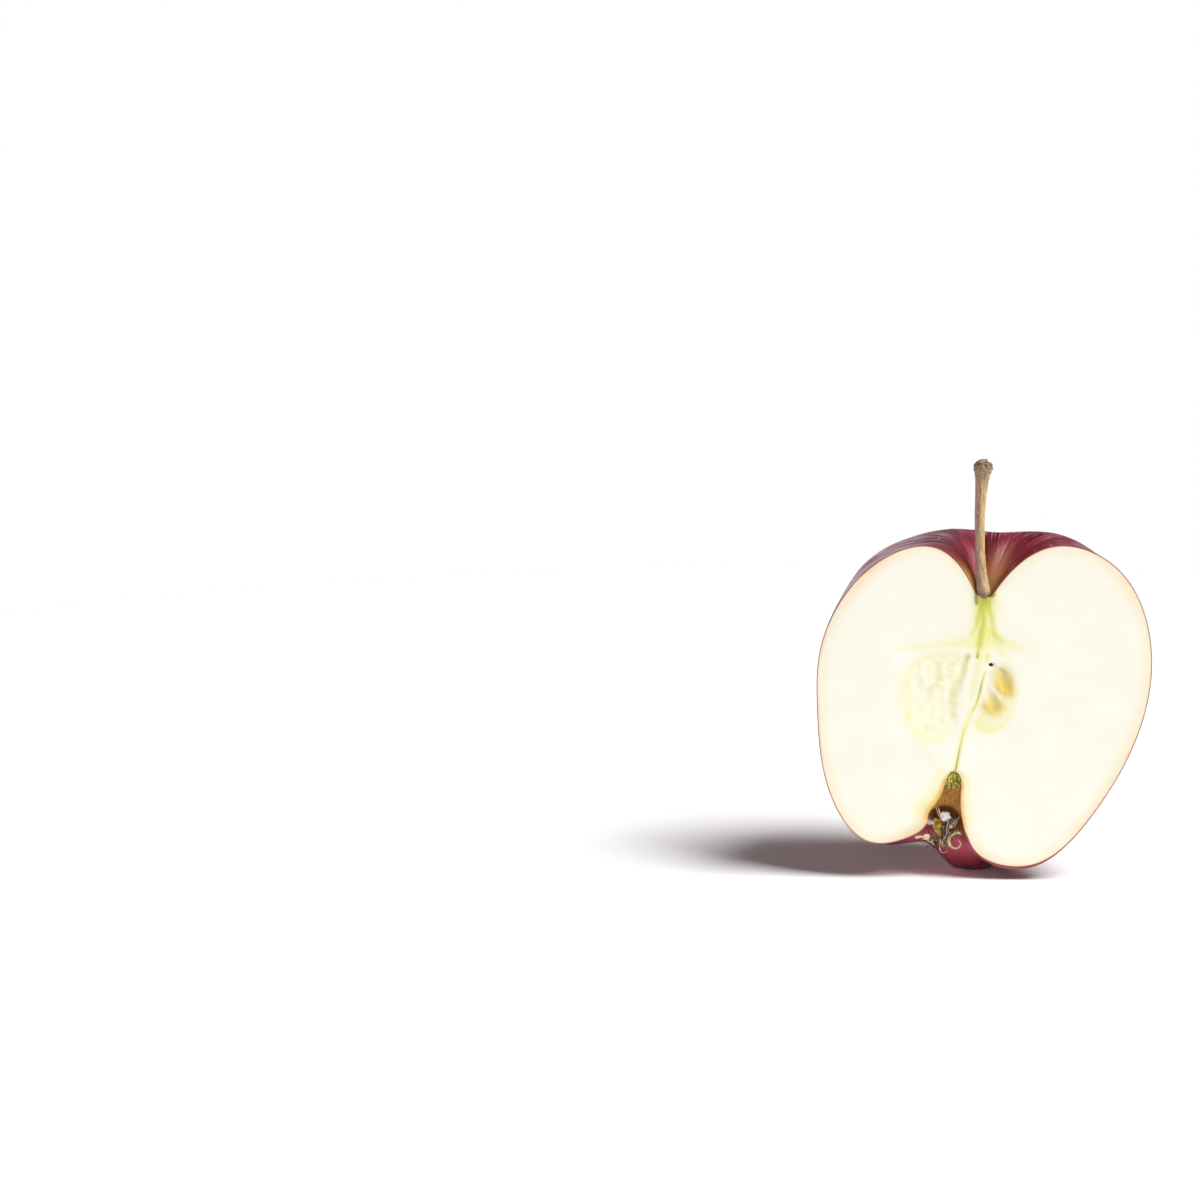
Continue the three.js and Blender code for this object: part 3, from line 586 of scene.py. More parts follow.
def fruit_body():
    """A stack of closed rings, one for each station: the skin from the right edge round the back to
    the left edge, then a rib in to the core axis and a rib out to the right edge. Long wrinkles on
    the crown change the radius by a few thousandths."""
    phi, t = np.linspace(0, np.pi, SKIN_STEPS + 1)[None], STATIONS[:, None]
    outside = skin(phi, t)
    wrinkle = relief(on_grid(phi * WRINKLE_ROUND, t * WRINKLE_DOWN), SKIN_WRINKLES)
    wrinkle = wrinkle * np.sin(phi) * bell(t, *WRINKLED_CROWN)
    outside += outside * (1, 1, 0) * wrinkle[..., None]
    outside[:, [0, -1], 1] = 0
    (left, left_away), (right, right_away) = ribs(LEFT_EDGE, -1), ribs(RIGHT_EDGE, 1)
    flat = np.concatenate([left[:, ::-1][:, 1:], right[:, 1:-1]], 1)
    to_skin = np.concatenate([left_away[:, ::-1][:, 1:], right_away[:, 1:-1]], 1)
    deep = cut_depth(flat) * np.clip(to_skin / RELIEF_FADE, 0, 1)
    face = np.stack([flat[..., 0], deep, flat[..., 1]], -1)
    piece = closed_body("apple_half", [np.concatenate([outside, face], 1)],
                        [apple_skin(), cut_flesh()], ["flesh"],
                        poles=[(0, 0, CORE_FOOT), (0, 0, CORE_TOP)])
    on_skin, on_cut = skin_marks(phi, t), cut_marks(flat, t, to_skin)
    for name in {**on_skin, **on_cut}:
        give(piece, name, spread(on_skin.get(name, 0), on_cut.get(name, 0), AT_POLES.get(name, (0, 0))))
    # millimetres of skin round the fruit and down the meridian, for the streaks
    down = np.cumsum(np.r_[0, np.linalg.norm(np.diff(outside[:, SKIN_STEPS // 2], axis=0), axis=1)])
    mm = np.stack([spread(phi, 0) * EQUATOR, spread(down[:, None], down[:, None], down[[0, -1]])], -1)
    corner = np.empty(len(piece.data.loops), int)
    piece.data.loops.foreach_get("vertex_index", corner)
    piece.data.uv_layers.new(name="skin_mm").data.foreach_set("uv", mm[corner].ravel())
    place = np.arange(SKIN_STEPS + 1 + CUT_COLUMNS)
    column = spread(place[:SKIN_STEPS + 1], place[SKIN_STEPS + 1:], (-1, -1)).astype(int)
    knife_edge(piece.data, column, corner)


# ---- the stalk, the pip and the calyx ------------------------------------------------------------


def stalk_body():
    """A tube along the stalk. Its radius runs smoothly through the stations and carries long ridges,
    cos(5 angle), and bark lumps; the swollen end is puckered. The bark is mauve to the left of the
    middle line and yellow-olive to its right, lighter there as painted light, dark round the swollen
    end, and darker at the foot as painted shade where it goes into the pit."""
    places = np.array([place for place, _ in STALK])
    radii = np.array([radius for _, radius in STALK])

    def radius(u, angle):
        r = smooth_line(radii[:, None], u)[..., 0]
        knob = rise((u - 0.66) / 0.03)
        ridge = 0.022 * np.cos(5 * angle + 3 * u) + 0.015 * np.cos(9 * angle - 7 * u)
        bark = on_grid(r * np.cos(angle), r * np.sin(angle), BARK_DOWN * u)
        pucker = knob * (0.05 * np.cos(7 * angle + 1) + 0.03 * np.cos(11 * angle))
        return r * (1 + ridge + pucker + relief(bark, BARK_LUMPS) + knob * relief(bark, KNOB_LUMPS))

    rings = tube(places, radius, 260, 64)
    piece = closed_body("stalk_bark", [rings], [stalk_bark()], ["stalk"])
    x, _, z = np.vstack([rings.reshape(-1, 3), rings[[0, -1]].mean(1)]).T
    order = np.argsort(places[:, 2])
    across = x - np.interp(z, places[order, 2], places[order, 0])
    give(piece, "mauve", rise((-0.25 - across) / 0.25) * rise((53.0 - z) / 1.0))
    # yellow-olive bark on the right, lighter there as painted light
    give(piece, "olive_and_lit_side", rise((across - 0.35) / 0.2) * rise((51.5 - z) / 2.0) * rise((z - 33) / 3))
    give(piece, "knob", rise((z - 52.5) / 0.8))
    # a dark rim round the swollen end, and painted shade at the foot where the stalk goes into the pit
    give(piece, "rim", bell(z, 55.9, 0.5) + 0.85 * bell(z, 26.8, 0.9))


def pip_body():
    """The tip of a pip: a small egg shape with a blunt point."""
    closed_body("pip_tip", [egg(*SEED_TIP, 0.05, 1.2, 70)], [tissue("pip_coat")], ["seed_tip"])


def blade(line, width, taper, ripple, face, along=60, across=14):
    """A thin dried leaf: rings round a flat section that narrows to the tip as 1 - 0.8 u^taper, bent
    by ripple x sin(9u + 2.2s) and cupped by s squared, with an uneven edge, a vein and crumples. s
    goes from -1 to 1 across the blade, and back on its other face."""
    u = np.linspace(0, 1, along)[:, None]
    middle = smooth_line(line, u[:, 0])
    tangent = np.gradient(middle, axis=0)
    tangent /= np.linalg.norm(tangent, axis=1)[:, None]
    side = np.cross(tangent, np.array(face) / np.linalg.norm(face))
    side /= np.linalg.norm(side, axis=1)[:, None]
    out = np.cross(side, tangent)
    row = np.linspace(-1, 1, across)
    s = np.r_[row, row[::-1]][None]
    sign = np.r_[np.ones(across), -np.ones(across)][None]
    half = width / 2 * (1 - 0.8 * u**taper) * (1 + relief(on_grid(u * 5, np.sign(s) * 3), LEAF_EDGE))
    vein = 0.04 * np.cos(5 * s) * (1 - u)
    crumple = width * relief(on_grid(u * 5, s * 1.5), LEAF_CRUMPLES)
    wave = ripple * np.sin(9 * u + 2.2 * s) - 0.25 * half * s**2 + vein + crumple
    thick = SEPAL_THICK / 2 * (1 - 0.6 * np.abs(s)) * (1 - 0.5 * u)
    sideways, outwards = (half * s)[..., None], (wave + sign * thick)[..., None]
    return middle[:, None] + sideways * side[:, None] + outwards * out[:, None]


def thread(line, radius, seed, along=24, around=8):
    """A withered thread: a thin tube, flattened and uneven, tapering to 0.55 of its radius."""
    def uneven(u, angle):
        rough = lumps(on_grid(u * 8, np.cos(angle)), 1.5, seed)
        return radius * (1 - 0.45 * u) * (1 + 0.25 * np.cos(2 * angle) + 0.15 * rough)
    return tube(line, uneven, along, around)


def litter(boxes):
    """Withered scraps of the flower: short bent threads, mostly upright, drawn in each box."""
    made = []
    for (low, high), count, seed in boxes:
        draw = np.random.default_rng(seed)
        for i in range(count):
            top = draw.uniform(low, high)
            way = draw.normal(size=3) * (0.55, 0.25, 0.3) + (0, 0, -0.9)
            bend = draw.normal(size=3) * (0.25, 0.10, 0.10)
            length = draw.uniform(0.7, 1.7)
            line = [top, top + way * length * 0.5 + bend, top + way * length]
            made.append(thread(line, draw.uniform(0.06, 0.13), seed + i, 14, 6))
    return made


def down_hairs(middle, half, count, seed, roots, lengths, thick):
    """Short fine hairs out of an egg shape, on its side towards the knife. Each starts at a share of
    its half size, drawn between the two roots, is as long as one drawn between the two lengths, and
    bends a little downwards. thick is a hair's radius at its root."""
    draw = np.random.default_rng(seed)
    hairs = []
    for _ in range(count):
        way = draw.normal(size=3) * (1, 0.7, 1)
        way[1] = -abs(way[1])
        way /= np.linalg.norm(way)
        root = np.array(middle) + way * half * draw.uniform(*roots)
        tip = root + way * draw.uniform(*lengths) + (0, 0, -0.15)
        hairs.append(tube([root, (root + tip) / 2 + draw.normal(size=3) * 0.08, tip],
                          lambda u, angle: thick * (1 - 0.6 * u), 6, 5))
    return hairs


def green_lumps(across=8, down=9, layers=3):
    """Small torn lumps, three deep, in rows from GREEN_FROM to GREEN_TO, each moved and stretched a
    little. Fewer and fewer are left towards the bottom, so the tissue ends raggedly."""
    draw = np.random.default_rng(GREEN_SEED)
    made = []
    for i in range(across * down * layers):
        column, row, layer = i % across, i // across % down, i // (across * down)
        share = (np.array([column + 0.5, row + 0.5]) + draw.uniform(-0.6, 0.6, 2)) / (across, down)
        x, z = blend(np.array(GREEN_FROM), np.array(GREEN_TO), share)
        half = draw.uniform((0.12, 0.12, 0.12), (0.30, 0.24, 0.46))
        if draw.uniform() < 0.25 + 0.25 * row:
            made.append(egg((x, 0.30 + 0.45 * layer, z), half, 0.30, 0.9, GREEN_SEED + 1 + i, 12, 9))
    return made


def calyx_bodies():
    """The dried flower in the calyx: sepals, stamens, threads, scraps, down and green tissue."""
    leaf = {look: tissue(look) for look in ("cream_sepal", "ochre_sepal", "lime_sepal")}
    for name, shape in SEPALS.items():
        look, slot = UNLIKE_SEPALS.get(name, ("cream_sepal", "sepal"))
        closed_body(name + "_leaf", [blade(*shape)], [leaf[look]], [name])
    stamens = [thread(line, STAMEN_RADIUS, 30 + i) for i, line in enumerate(STAMENS)]
    pale = [thread(line, radius, 40 + i) for i, (line, radius) in enumerate(THREADS)]
    dark = [thread(line, radius, 80 + i) for i, (line, radius) in enumerate(DARK_THREADS)]
    tuft = [egg(TUFT_AT, TUFT_HALF, 0.20, 0.7, 50)] + down_hairs(TUFT_AT, TUFT_HALF, *TUFT_HAIRS)
    for name, stacks, slot, look, replaced in [
            ("stamens_dry", stamens, "stamens", "withered_stamen", ["stamens"]),
            ("calyx_threads", pale, "sepal", "pale_thread", []),
            # nearly black threads and scraps: partly painted shade in the gaps of the calyx
            ("calyx_dark_threads", dark + litter(DARK_LITTER), "stamens", "dark_thread", []),
            ("calyx_scraps", litter(GREY_LITTER), "stamens", "withered_stamen", []),
            ("calyx_tuft_down", tuft, "down", "white_calyx_down", ["calyx_tuft"]),
            ("calyx_rim_down", down_hairs(RIM_DOWN_AT, RIM_DOWN_HALF, *RIM_HAIRS), "down",
             "rosy_rim_down", []),
            ("calyx_green_tissue", green_lumps(), "flesh", "green_core_tissue", [])]:
        closed_body(name, stacks, [tissue(look)], replaced)


# ---- materials -----------------------------------------------------------------------------------


def linear(hex_colour):
    """sRGB hex to a linear colour with alpha 1."""
    share = np.array([int(hex_colour[i:i + 2], 16) / 255 for i in (0, 2, 4)])
    share = np.where(share <= 0.04045, share / 12.92, ((share + 0.055) / 1.055) ** 2.4)
    return (*share, 1.0)


def material(name):
    """(material, its node tree, its Principled shader), new."""
    made = bpy.data.materials.new(name)
    made.use_nodes = True
    return made, made.node_tree, made.node_tree.nodes["Principled BSDF"]


def add(tree, kind, values=None, links=None, ramp=None, **settings):
    """Adds a shader node: its settings, its sockets' values, the links into it as {socket: (node,
    output)}, and a ramp's stops as (place, hex colour)."""
    node = tree.nodes.new("ShaderNode" + kind)
    for key, value in settings.items():
        setattr(node, key, value)
    for socket, value in (values or {}).items():
        node.inputs[socket].default_value = value
    for socket, (source, output) in (links or {}).items():
        tree.links.new(source.outputs[output], node.inputs[socket])
    if ramp:
        stops = node.color_ramp.elements
        while len(stops) < len(ramp):
            stops.new(0.5)
        for stop, (place, hex_colour) in zip(stops, ramp):
            stop.position, stop.color = place, linear(hex_colour)
    return node


def surface(shader, links, values):
    """Links each (node, output) into the shader's socket of that name, and sets other sockets."""
    for socket, (source, output) in links.items():
        shader.id_data.links.new(source.outputs[output], shader.inputs[socket])
    for socket, value in values.items():
        shader.inputs[socket].default_value = value


def painted(tree, under, share, hex_colour):
    """under, covered by a colour where share is 1. under and share are (node, output)."""
    mixed = add(tree, "Mix", {7: linear(hex_colour)}, {0: share, 6: under}, data_type="RGBA")
    return mixed, 2


def broken(tree, name, noise, keep, low, high):
    """The attribute called name, times a share that goes from keep to 1 as the noise goes from low
    to high: strong where the attribute is 1, with an uneven edge. noise is (node, output)."""
    source = add(tree, "Attribute", attribute_name=name)
    uneven = add(tree, "MapRange", {1: low, 2: high, 3: keep, 4: 1.0}, {0: noise})
    return add(tree, "Math", None, {0: (source, "Fac"), 1: (uneven, 0)}, operation="MULTIPLY"), 0


def coated(tree, colour, coats, noises):
    """colour under a list of coats, each an attribute, the noise that breaks it, what stays of it
    where the noise is low, that noise's low and high, and its hex colour."""
    for name, noise, keep, (low, high), hex_colour in coats:
        colour = painted(tree, colour, broken(tree, name, noises[noise], keep, low, high), hex_colour)
    return colour


EVENLY = (0.35, 0.65)
SKIN_COATS = [
    # whitish wax film and painted sheen on the left shoulder
    ("bloom_and_sheen", "hairs", 0.10, (0.41, 0.60), "e8ced8"),
    # painted highlights along the crown's wrinkles
    ("wrinkle_highlights", "fine", 0.00, (0.54, 0.72), "dccad4"),
    ("russet", "streaks", 0.60, (0.35, 0.70), "a06c42"),
    ("amber", "hairs", 0.50, EVENLY, "c98f42"),
    ("olive", "grain", 0.60, EVENLY, "7d6436"),
    ("chip", "grain", 0.70, EVENLY, "f2d2cc"),
    # pink of the calyx basin, partly painted sheen
    ("basin", "blotch", 0.55, EVENLY, "c85c70"),
    ("tube", "grain", 1.00, EVENLY, "c49048"),
    ("tube", "cork", 0.15, (0.44, 0.62), "9a6434"),
    # painted light on the calyx tube's left wall
    ("lit_tube_wall", "cork", 0.50, EVENLY, "e6b45a"),
    # cork of the cavity, darkened as painted shade under the tube's roof
    ("cavity", "cork", 0.80, EVENLY, "6e4224"),
    # pale pink at the tube's left rim, and a painted highlight on the right lobe's edge
    ("lip_and_highlight", "grain", 0.30, EVENLY, "e6cbc4"),
]
CORE_COATS = [
    ("shaved_rim", "cloud", 0.65, EVENLY, "eee8a2"),
    ("sage", "grain", 0.75, EVENLY, "ddd690"),
    ("straw", "fibres", 0.75, EVENLY, "e6e45e"),
    ("ochre", "fibres", 0.80, EVENLY, "dabf40"),
    ("milk", "fibres", 0.70, EVENLY, "faf8ec"),
    ("lime", "fibres", 0.75, EVENLY, "c6c52c"),
    ("root", "fibres", 0.45, EVENLY, "a6a640"),
    # dark brown in the cracks, partly painted shade
    ("slit_shade", "grain", 0.90, EVENLY, "7a620c"),
]
BARK_COATS = [
    ("mauve", "fibres", 0.40, EVENLY, "a07c76"),
    # yellow-olive, partly painted light on the stalk's right side
    ("olive_and_lit_side", "fibres", 0.30, EVENLY, "d6b466"),
    ("knob", "fibres", 0.40, EVENLY, "8a7058"),
    # dark rim round the swollen end, and painted shade at the foot
    ("rim", "fibres", 0.30, EVENLY, "4a3228"),
]


def apple_skin():
    """Waxy cuticle of a ripe red apple, grown, then wiped. Deep crimson with darker and lighter
    streaks down the meridians, pale lenticels, russet round the stalk and in the calyx. Pale lilac
    streaks on one shoulder are the wax's own whitish film and painted sheen, and fine pale lines over
    the crown are painted highlights of its wrinkles. The wax gives a soft shine broken by wrinkles."""
    made, tree, shader = material("waxy_apple_skin")
    mm = add(tree, "UVMap", uv_map="skin_mm")
    at = add(tree, "TexCoord")
    # the streaks wander up to 2 mm sideways
    sway = add(tree, "TexNoise", {"Scale": 1 / 13, "Detail": 2.0}, {0: (mm, 0)})
    place = add(tree, "VectorMath", {1: (4.0, 0, 0)}, {0: (sway, "Color"), 2: (mm, 0)},
                operation="MULTIPLY_ADD")
    noises = {}
    # streaks down the meridians: width on the flank and length in mm, detail
    for name, across, along, detail in [("bands", 14, 60, 3.0), ("streaks", 5, 22, 4.0),
                                        ("hairs", 1.6, 14, 3.0), ("fine", 0.7, 7, 3.0)]:
        drawn_out = add(tree, "Mapping", {"Scale": (1 / across, 1 / along, 1)}, {0: (place, 0)})
        noises[name] = add(tree, "TexNoise", {"Scale": 1.0, "Detail": detail, "Roughness": 0.55},
                           {0: (drawn_out, 0)}), 0
    # blotches, fine grain and cork: size in mm, detail, roughness
    for name, size, detail, rough in [("blotch", 9, 3.0, 0.5), ("grain", 0.9, 3.0, 0.5),
                                      ("cork", 0.6, 4.0, 0.7)]:
        noises[name] = add(tree, "TexNoise", {"Scale": 1000 / size, "Detail": detail, "Roughness": rough},
                           {0: (at, "Object")}), 0
    tone = add(tree, "Math", {1: 0.40}, {0: noises["streaks"]}, operation="MULTIPLY")
    for name, share in [("bands", 0.25), ("hairs", 0.20), ("blotch", 0.15)]:
        tone = add(tree, "Math", {1: share}, {0: noises[name], 2: (tone, 0)}, operation="MULTIPLY_ADD")
    colour = add(tree, "ValToRGB", None, {0: (tone, 0)},
                 [(0.36, "3c0a1a"), (0.46, "631427"), (0.54, "832637"), (0.64, "a8444c")]), 0
    # lenticels: balls 0.6 mm across, one in each 4 mm of space, where the skin happens to cut them
    cells = add(tree, "TexVoronoi", {"Scale": 1000 / 4.0}, {0: (at, "Object")})
    dots = add(tree, "MapRange", {1: 0.06, 2: 0.10, 3: 0.8, 4: 0.0}, {0: (cells, "Distance")})
    colour = coated(tree, painted(tree, colour, (dots, 0), "d89a9c"), SKIN_COATS, noises)
    # wrinkles over the crown, a fine pebble everywhere and cork in the tube, up to 0.3 mm high
    crest = add(tree, "Attribute", attribute_name="crown")
    ridge = add(tree, "Math", None, {0: noises["hairs"], 1: (crest, "Fac")}, operation="MULTIPLY")
    dry = add(tree, "Attribute", attribute_name="tube")
    scurf = add(tree, "Math", None, {0: (dry, "Fac"), 1: noises["cork"]}, operation="MULTIPLY")
    bumps = add(tree, "Math", {1: 0.08}, {0: noises["grain"], 2: (ridge, 0)}, operation="MULTIPLY_ADD")
    bumps = add(tree, "Math", {1: 1.2}, {0: (scurf, 0), 2: (bumps, 0)}, operation="MULTIPLY_ADD")
    bump = add(tree, "Bump", {"Strength": 0.9, "Distance": 0.00030}, {"Height": (bumps, 0)})
    # wax shines, dry cork doesn't
    rough = add(tree, "MapRange", {1: 0.0, 2: 1.0, 3: 0.34, 4: 0.90}, {0: (dry, "Fac")})
    surface(shader, {"Base Color": colour, "Normal": (bump, 0), "Roughness": (rough, 0)},
            {"IOR": 1.45, "Specular IOR Level": 0.28})
    return made


def cut_flesh():
    """Apple flesh fresh from the knife: moist, nearly white cells with a fine grain, a faint warm
    tint under the skin, lime and straw-coloured veins round the core, ochre seed chambers."""
    made, tree, shader = material("moist_cut_flesh")
    at = add(tree, "TexCoord")
    noises = {}
    # single cells, grain and slow clouds: size in mm, detail
    for name, size, detail in [("cells", 0.55, 2.0), ("grain", 1.2, 4.0), ("cloud", 7, 2.0)]:
        noises[name] = add(tree, "TexNoise", {"Scale": 1000 / size, "Detail": detail},
                           {0: (at, "Object")}), 0
    # fibres run down the core, 0.4 mm wide and 6 mm long
    drawn_out = add(tree, "Mapping", {"Rotation": (0, -TILT, 0), "Scale": (1000 / 0.4, 300, 1000 / 6)},
                    {0: (at, "Object")})
    noises["fibres"] = add(tree, "TexNoise", {"Scale": 1.0, "Detail": 3.0}, {0: (drawn_out, 0)}), 0
    colour = add(tree, "ValToRGB", None, {0: noises["cloud"]},
                 [(0.30, "f1eee0"), (0.55, "f3f0e3"), (0.75, "f5f3e7")]), 0
    speck = add(tree, "MapRange", {1: 0.35, 2: 0.75, 3: 0.0, 4: 0.30}, {0: noises["cells"]})
    colour = painted(tree, colour, (speck, 0), "ece8d6")
    # painted shade: the flesh a little darker and creamier over 4 mm in from the skin, and a peach blush
    # that fades over 3 mm in from the skin, in patches
    away = add(tree, "Attribute", attribute_name="to_skin")
    edge_shade, near = [add(tree, "MapRange", {1: start, 2: end, 3: most, 4: 0.0}, {0: (away, "Fac")},
                        interpolation_type="SMOOTHSTEP")
                    for start, end, most in [(0.3, 4.0, 0.50), (0.2, 3.2, 1.0)]]
    colour = painted(tree, colour, (edge_shade, 0), "ece2c2")
    # painted shade: darker yellow flesh by the calyx basin's edge, most on the left
    colour = coated(tree, colour, [("calyx_lip_shade", "cloud", 0.7, EVENLY, "d6ba80")], noises)
    blush = broken(tree, "blush", noises["grain"], 0.2, *EVENLY)
    blush = add(tree, "Math", None, {0: blush, 1: (near, 0)}, operation="MULTIPLY")
    blush = add(tree, "Math", {1: 0.75}, {0: (blush, 0)}, operation="MULTIPLY")
    colour = painted(tree, colour, (blush, 0), "f0cdb0")
    fringe = add(tree, "MapRange", {1: 0.20, 2: 0.95, 3: 1.0, 4: 0.0}, {0: (away, "Fac")})
    patchy = add(tree, "MapRange", {1: 0.40, 2: 0.62, 3: 0.15, 4: 0.60}, {0: noises["cloud"]})
    fringe = add(tree, "Math", None, {0: (fringe, 0), 1: (patchy, 0)}, operation="MULTIPLY")
    colour = painted(tree, colour, (fringe, 0), "efc49a")
    # the shaved chamber: a torn web of walls 1.7 mm apart, which wander 1 mm, and paler smudges
    colour = coated(tree, colour, [("shaved", "cloud", 0.6, EVENLY, "f4f1d6")], noises)
    bent = add(tree, "VectorMath", {1: (0.0012, 0.0012, 0.0012)},
               {0: (noises["cloud"][0], "Color"), 2: (at, "Object")}, operation="MULTIPLY_ADD")
    web = add(tree, "TexVoronoi", {"Scale": 1000 / 1.7}, {0: (bent, 0)}, feature="DISTANCE_TO_EDGE")
    web = add(tree, "MapRange", {1: 0.0, 2: 0.22, 3: 1.0, 4: 0.0}, {0: (web, 0)})
    torn = add(tree, "MapRange", {1: 0.42, 2: 0.66, 3: 0.0, 4: 0.20}, {0: noises["grain"]})
    web = add(tree, "Math", None, {0: (web, 0), 1: (torn, 0)}, operation="MULTIPLY")
    smudge = add(tree, "MapRange", {1: 0.50, 2: 0.66, 3: 0.0, 4: 0.22}, {0: noises["grain"]})
    dish = add(tree, "Attribute", attribute_name="shaved")
    for mark, hex_colour in [(web, "e4dfae"), (smudge, "e6e6b4")]:
        mark = add(tree, "Math", None, {0: (mark, 0), 1: (dish, "Fac")}, operation="MULTIPLY")
        colour = painted(tree, colour, (mark, 0), hex_colour)
    colour = coated(tree, colour, CORE_COATS, noises)
    # the cut skin itself, 0.3 mm, but not in the calyx tube, whose wall is amber
    rind = add(tree, "MapRange", {1: 0.12, 2: 0.30, 3: 0.95, 4: 0.0}, {0: (away, "Fac")})
    skinned = add(tree, "Attribute", attribute_name="skinned")
    rind = add(tree, "Math", None, {0: (rind, 0), 1: (skinned, "Fac")}, operation="MULTIPLY")
    colour = painted(tree, colour, (rind, 0), "7c2632")
    colour = coated(tree, colour, [("halo", "grain", 0.7, EVENLY, "e6a93a")], noises)
    # wet cells 0.5 mm across stand 0.02 mm proud
    height = add(tree, "Math", {1: 0.5}, {0: noises["grain"], 2: noises["cells"]}, operation="MULTIPLY_ADD")
    bump = add(tree, "Bump", {"Strength": 0.35, "Distance": 0.00005}, {"Height": (height, 0)})
    surface(shader, {"Base Color": colour, "Normal": (bump, 0)},
            {"Roughness": 0.50, "IOR": 1.38, "Subsurface Weight": 0.20,
             "Subsurface Radius": (0.0030, 0.0022, 0.0012), "Subsurface Scale": 1.0})
    return made


def stalk_bark():
    """Woody apple stalk, grown and half dried: mauve-brown bark on the left, yellow-olive on the right
    and lighter there as painted light, speckled grey and brown, with a dark rim round its swollen
    end and painted shade at its foot."""
    made, tree, shader = material("woody_stalk_bark")
    at = add(tree, "TexCoord")
    # fibres 0.5 mm wide and 3 mm long, and specks of 0.45 mm
    drawn_out = add(tree, "Mapping", {"Rotation": (0, -TILT, 0), "Scale": (2000, 2000, 1000 / 3)},
                    {0: (at, "Object")})
    fibres = add(tree, "TexNoise", {"Scale": 1.0, "Detail": 5.0, "Roughness": 0.65}, {0: (drawn_out, 0)})
    specks = add(tree, "TexNoise", {"Scale": 1000 / 0.45, "Detail": 4.0, "Roughness": 0.7},
                 {0: (at, "Object")})
    colour = add(tree, "ValToRGB", None, {0: (fibres, 0)},
                 [(0.32, "6e5040"), (0.48, "a68468"), (0.60, "c4a47a"), (0.74, "dcc09a")]), 0
    colour = coated(tree, colour, BARK_COATS, {"fibres": (fibres, 0)})
    # light flecks where the specks are high, dark ones where they are low
    for low, high, at_low, at_high, hex_colour in [(0.56, 0.68, 0.0, 0.65, "dccbb4"),
                                                   (0.32, 0.42, 0.6, 0.0, "49352c")]:
        fleck = add(tree, "MapRange", {1: low, 2: high, 3: at_low, 4: at_high}, {0: (specks, 0)})
        colour = painted(tree, colour, (fleck, 0), hex_colour)
    height = add(tree, "Math", {1: 0.6}, {0: (specks, 0), 2: (fibres, 0)}, operation="MULTIPLY_ADD")
    bump = add(tree, "Bump", {"Strength": 0.7, "Distance": 0.00012}, {"Height": (height, 0)})
    surface(shader, {"Base Color": colour, "Normal": (bump, 0)},
            {"Roughness": 0.62, "Specular IOR Level": 0.35})
    return made


# Tissues of the flower and the core: dark, middle and light tone, and what differs from dry paper.
TISSUES = {
    # dried sepals: cream where bleached, lime where still a little green, ochre where folded
    "cream_sepal": ("a08c68", "ecdfb8", "fbf4e0", {}),
    "lime_sepal": ("a09858", "d8d096", "eeeac4", {}),
    "ochre_sepal": ("7a5c26", "bfa046", "e2cc78", {}),
    # withered stamens and threads: grey-brown dried fibre, lighter along its ridges
    "withered_stamen": ("4c3c30", "8a7462", "bea88e", {}),
    "pale_thread": ("94806e", "cdbba4", "eee2ce", {}),
    # nearly black, so that it also stands as painted shade deep in the calyx
    "dark_thread": ("2a1e16", "523f32", "86705e", {}),
    # down: fine dry hairs that scatter light, rosy where they grow on the skin
    "rosy_rim_down": ("c8a8a4", "ecdcd4", "faf4f0", {}),
    "white_calyx_down": ("c4c2bc", "eceae4", "fdfdfb", {"Sheen Weight": 0.3}),
    # soft tissue at the top of the calyx tube, moist, between lime and dark olive
    "green_core_tissue": ("76601e", "c4b64c", "ece492", {"Roughness": 0.5}),
    # seed coat of a ripe pip: smooth, nearly black brown, with a soft gloss
    "pip_coat": ("0c0705", "1a0f0a", "3a2216", {"Roughness": 0.35}),
}


def tissue(name):
    """Plant tissue as TISSUES has it. Unless that says otherwise it has dried in the air, papery,
    crumpled and dull: three tones in blotches of 0.8 mm, which stand 0.06 mm proud."""
    dark, middle, light, unlike_paper = TISSUES[name]
    made, tree, shader = material(name)
    at = add(tree, "TexCoord")
    blotch = add(tree, "TexNoise", {"Scale": 1000 / 0.8, "Detail": 5.0, "Roughness": 0.65},
                 {0: (at, "Object")})
    colour = add(tree, "ValToRGB", None, {0: (blotch, 0)}, [(0.34, dark), (0.52, middle), (0.68, light)])
    bump = add(tree, "Bump", {"Strength": 0.6, "Distance": 0.0001}, {"Height": (blotch, 0)})
    surface(shader, {"Base Color": (colour, 0), "Normal": (bump, 0)},
            {"Roughness": 0.8, "Specular IOR Level": 0.25, **unlike_paper})
    return made


def studio_paper():
    """White studio paper, rolled, matt, with a barely visible tooth of 2.5 mm."""
    made, tree, shader = material("white_studio_paper")
    at = add(tree, "TexCoord")
    tooth = add(tree, "TexNoise", {"Scale": 400.0, "Detail": 2.0}, {0: (at, "Object")})
    colour = add(tree, "ValToRGB", None, {0: (tooth, 0)}, [(0.3, "fcfcfd"), (0.7, "fdfdfe")])
    surface(shader, {"Base Color": (colour, 0)}, {"Roughness": 0.9, "Specular IOR Level": 0.2})
    return made


# ---- the scene, in metres ------------------------------------------------------------------------

FLOOR_RADIUS, FLOOR_SIDES = 0.45, 96
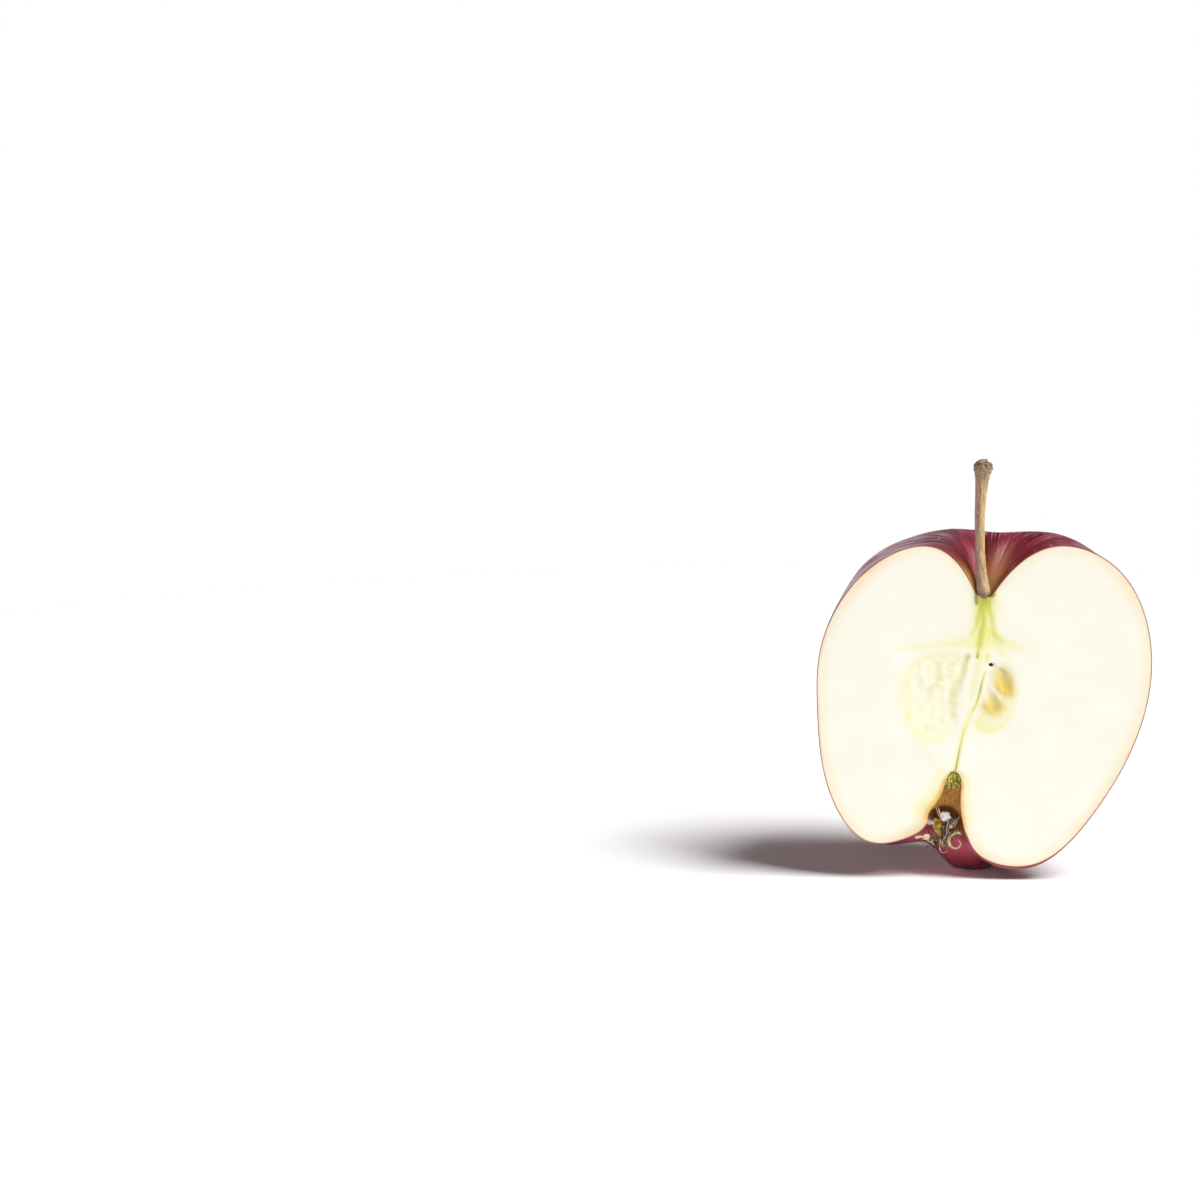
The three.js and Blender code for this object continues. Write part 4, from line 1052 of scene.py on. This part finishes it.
# Square lamps: place, what they aim at, width, watts, colour.
LAMPS = {
    "key_softbox": ((1.90, -0.92, 3.00), (0, 0, 0.04), 1.9, 188.0, "ffffff"),
    "front_fill": ((-0.40, -1.90, 0.45), (0, 0, 0.04), 0.9, 4.5, "ffffff"),
    "back_window": ((-1.20, 0.90, 0.50), (0, 0, 0.06), 0.8, 5.0, "ffdcdc"),
}
CAMERA_AT = (-0.06073, -0.7934, 0.1918)
CAMERA_DOWN, CAMERA_LEFT = math.radians(9.349), math.radians(1.892)
CAMERA_LENS, CAMERA_SENSOR = 70.0, 24.0  # in mm


def link_object(name, data):
    """A new object in the scene that shows the data."""
    made = bpy.data.objects.new(name, data)
    bpy.context.scene.collection.objects.link(made)
    return made


def studio_floor():
    """A round sheet of white paper."""
    turn = np.linspace(0, 2 * np.pi, FLOOR_SIDES, endpoint=False)
    mesh = bpy.data.meshes.new("studio_floor")
    edge = np.stack([FLOOR_RADIUS * np.cos(turn), FLOOR_RADIUS * np.sin(turn), 0 * turn], -1)
    mesh.from_pydata(edge, [], [tuple(range(FLOOR_SIDES))])
    mesh.materials.append(studio_paper())
    link_object("studio_floor", mesh)


def softbox(name, place, target, size, watts, hex_colour):
    """A square area lamp at place, aimed at target."""
    lamp = bpy.data.lights.new(name, "AREA")
    lamp.size, lamp.energy, lamp.color = size, watts, linear(hex_colour)[:3]
    stand = link_object(name, lamp)
    stand.location = place
    way = np.array(target) - place
    down, turn = math.acos(-way[2] / np.linalg.norm(way)), math.atan2(way[1], way[0])
    stand.rotation_euler = (down, 0, turn - math.pi / 2)


def white_studio():
    """A white horizon that darkens to a grey ceiling, so that gloss has something to show."""
    world = bpy.data.worlds.new("white_studio")
    world.use_nodes = True
    tree = world.node_tree
    way = add(tree, "TexCoord")
    way = add(tree, "SeparateXYZ", None, {0: (way, "Generated")})
    sky = add(tree, "MapRange", {1: 0.03, 2: 0.15, 3: 1.0, 4: 0.055}, {0: (way, "Z")},
              interpolation_type="SMOOTHSTEP")
    surface(tree.nodes["Background"], {"Strength": (sky, 0)}, {"Color": linear("ffffff")})
    bpy.context.scene.world = world
    bpy.context.scene.view_settings.view_transform = "Standard"


def camera():
    """A camera a little above the fruit, in front of it."""
    lens = bpy.data.cameras.new("camera")
    lens.lens, lens.sensor_width = CAMERA_LENS, CAMERA_SENSOR
    stand = link_object("camera", lens)
    stand.location = CAMERA_AT
    stand.rotation_euler = (math.pi / 2 - CAMERA_DOWN, 0, CAMERA_LEFT)
    bpy.context.scene.camera = stand


fruit_body()
stalk_body()
pip_body()
calyx_bodies()
studio_floor()
for lamp_name, lamp_values in LAMPS.items():
    softbox(lamp_name, *lamp_values)
white_studio()
camera()

bpy.context.view_layer.update()
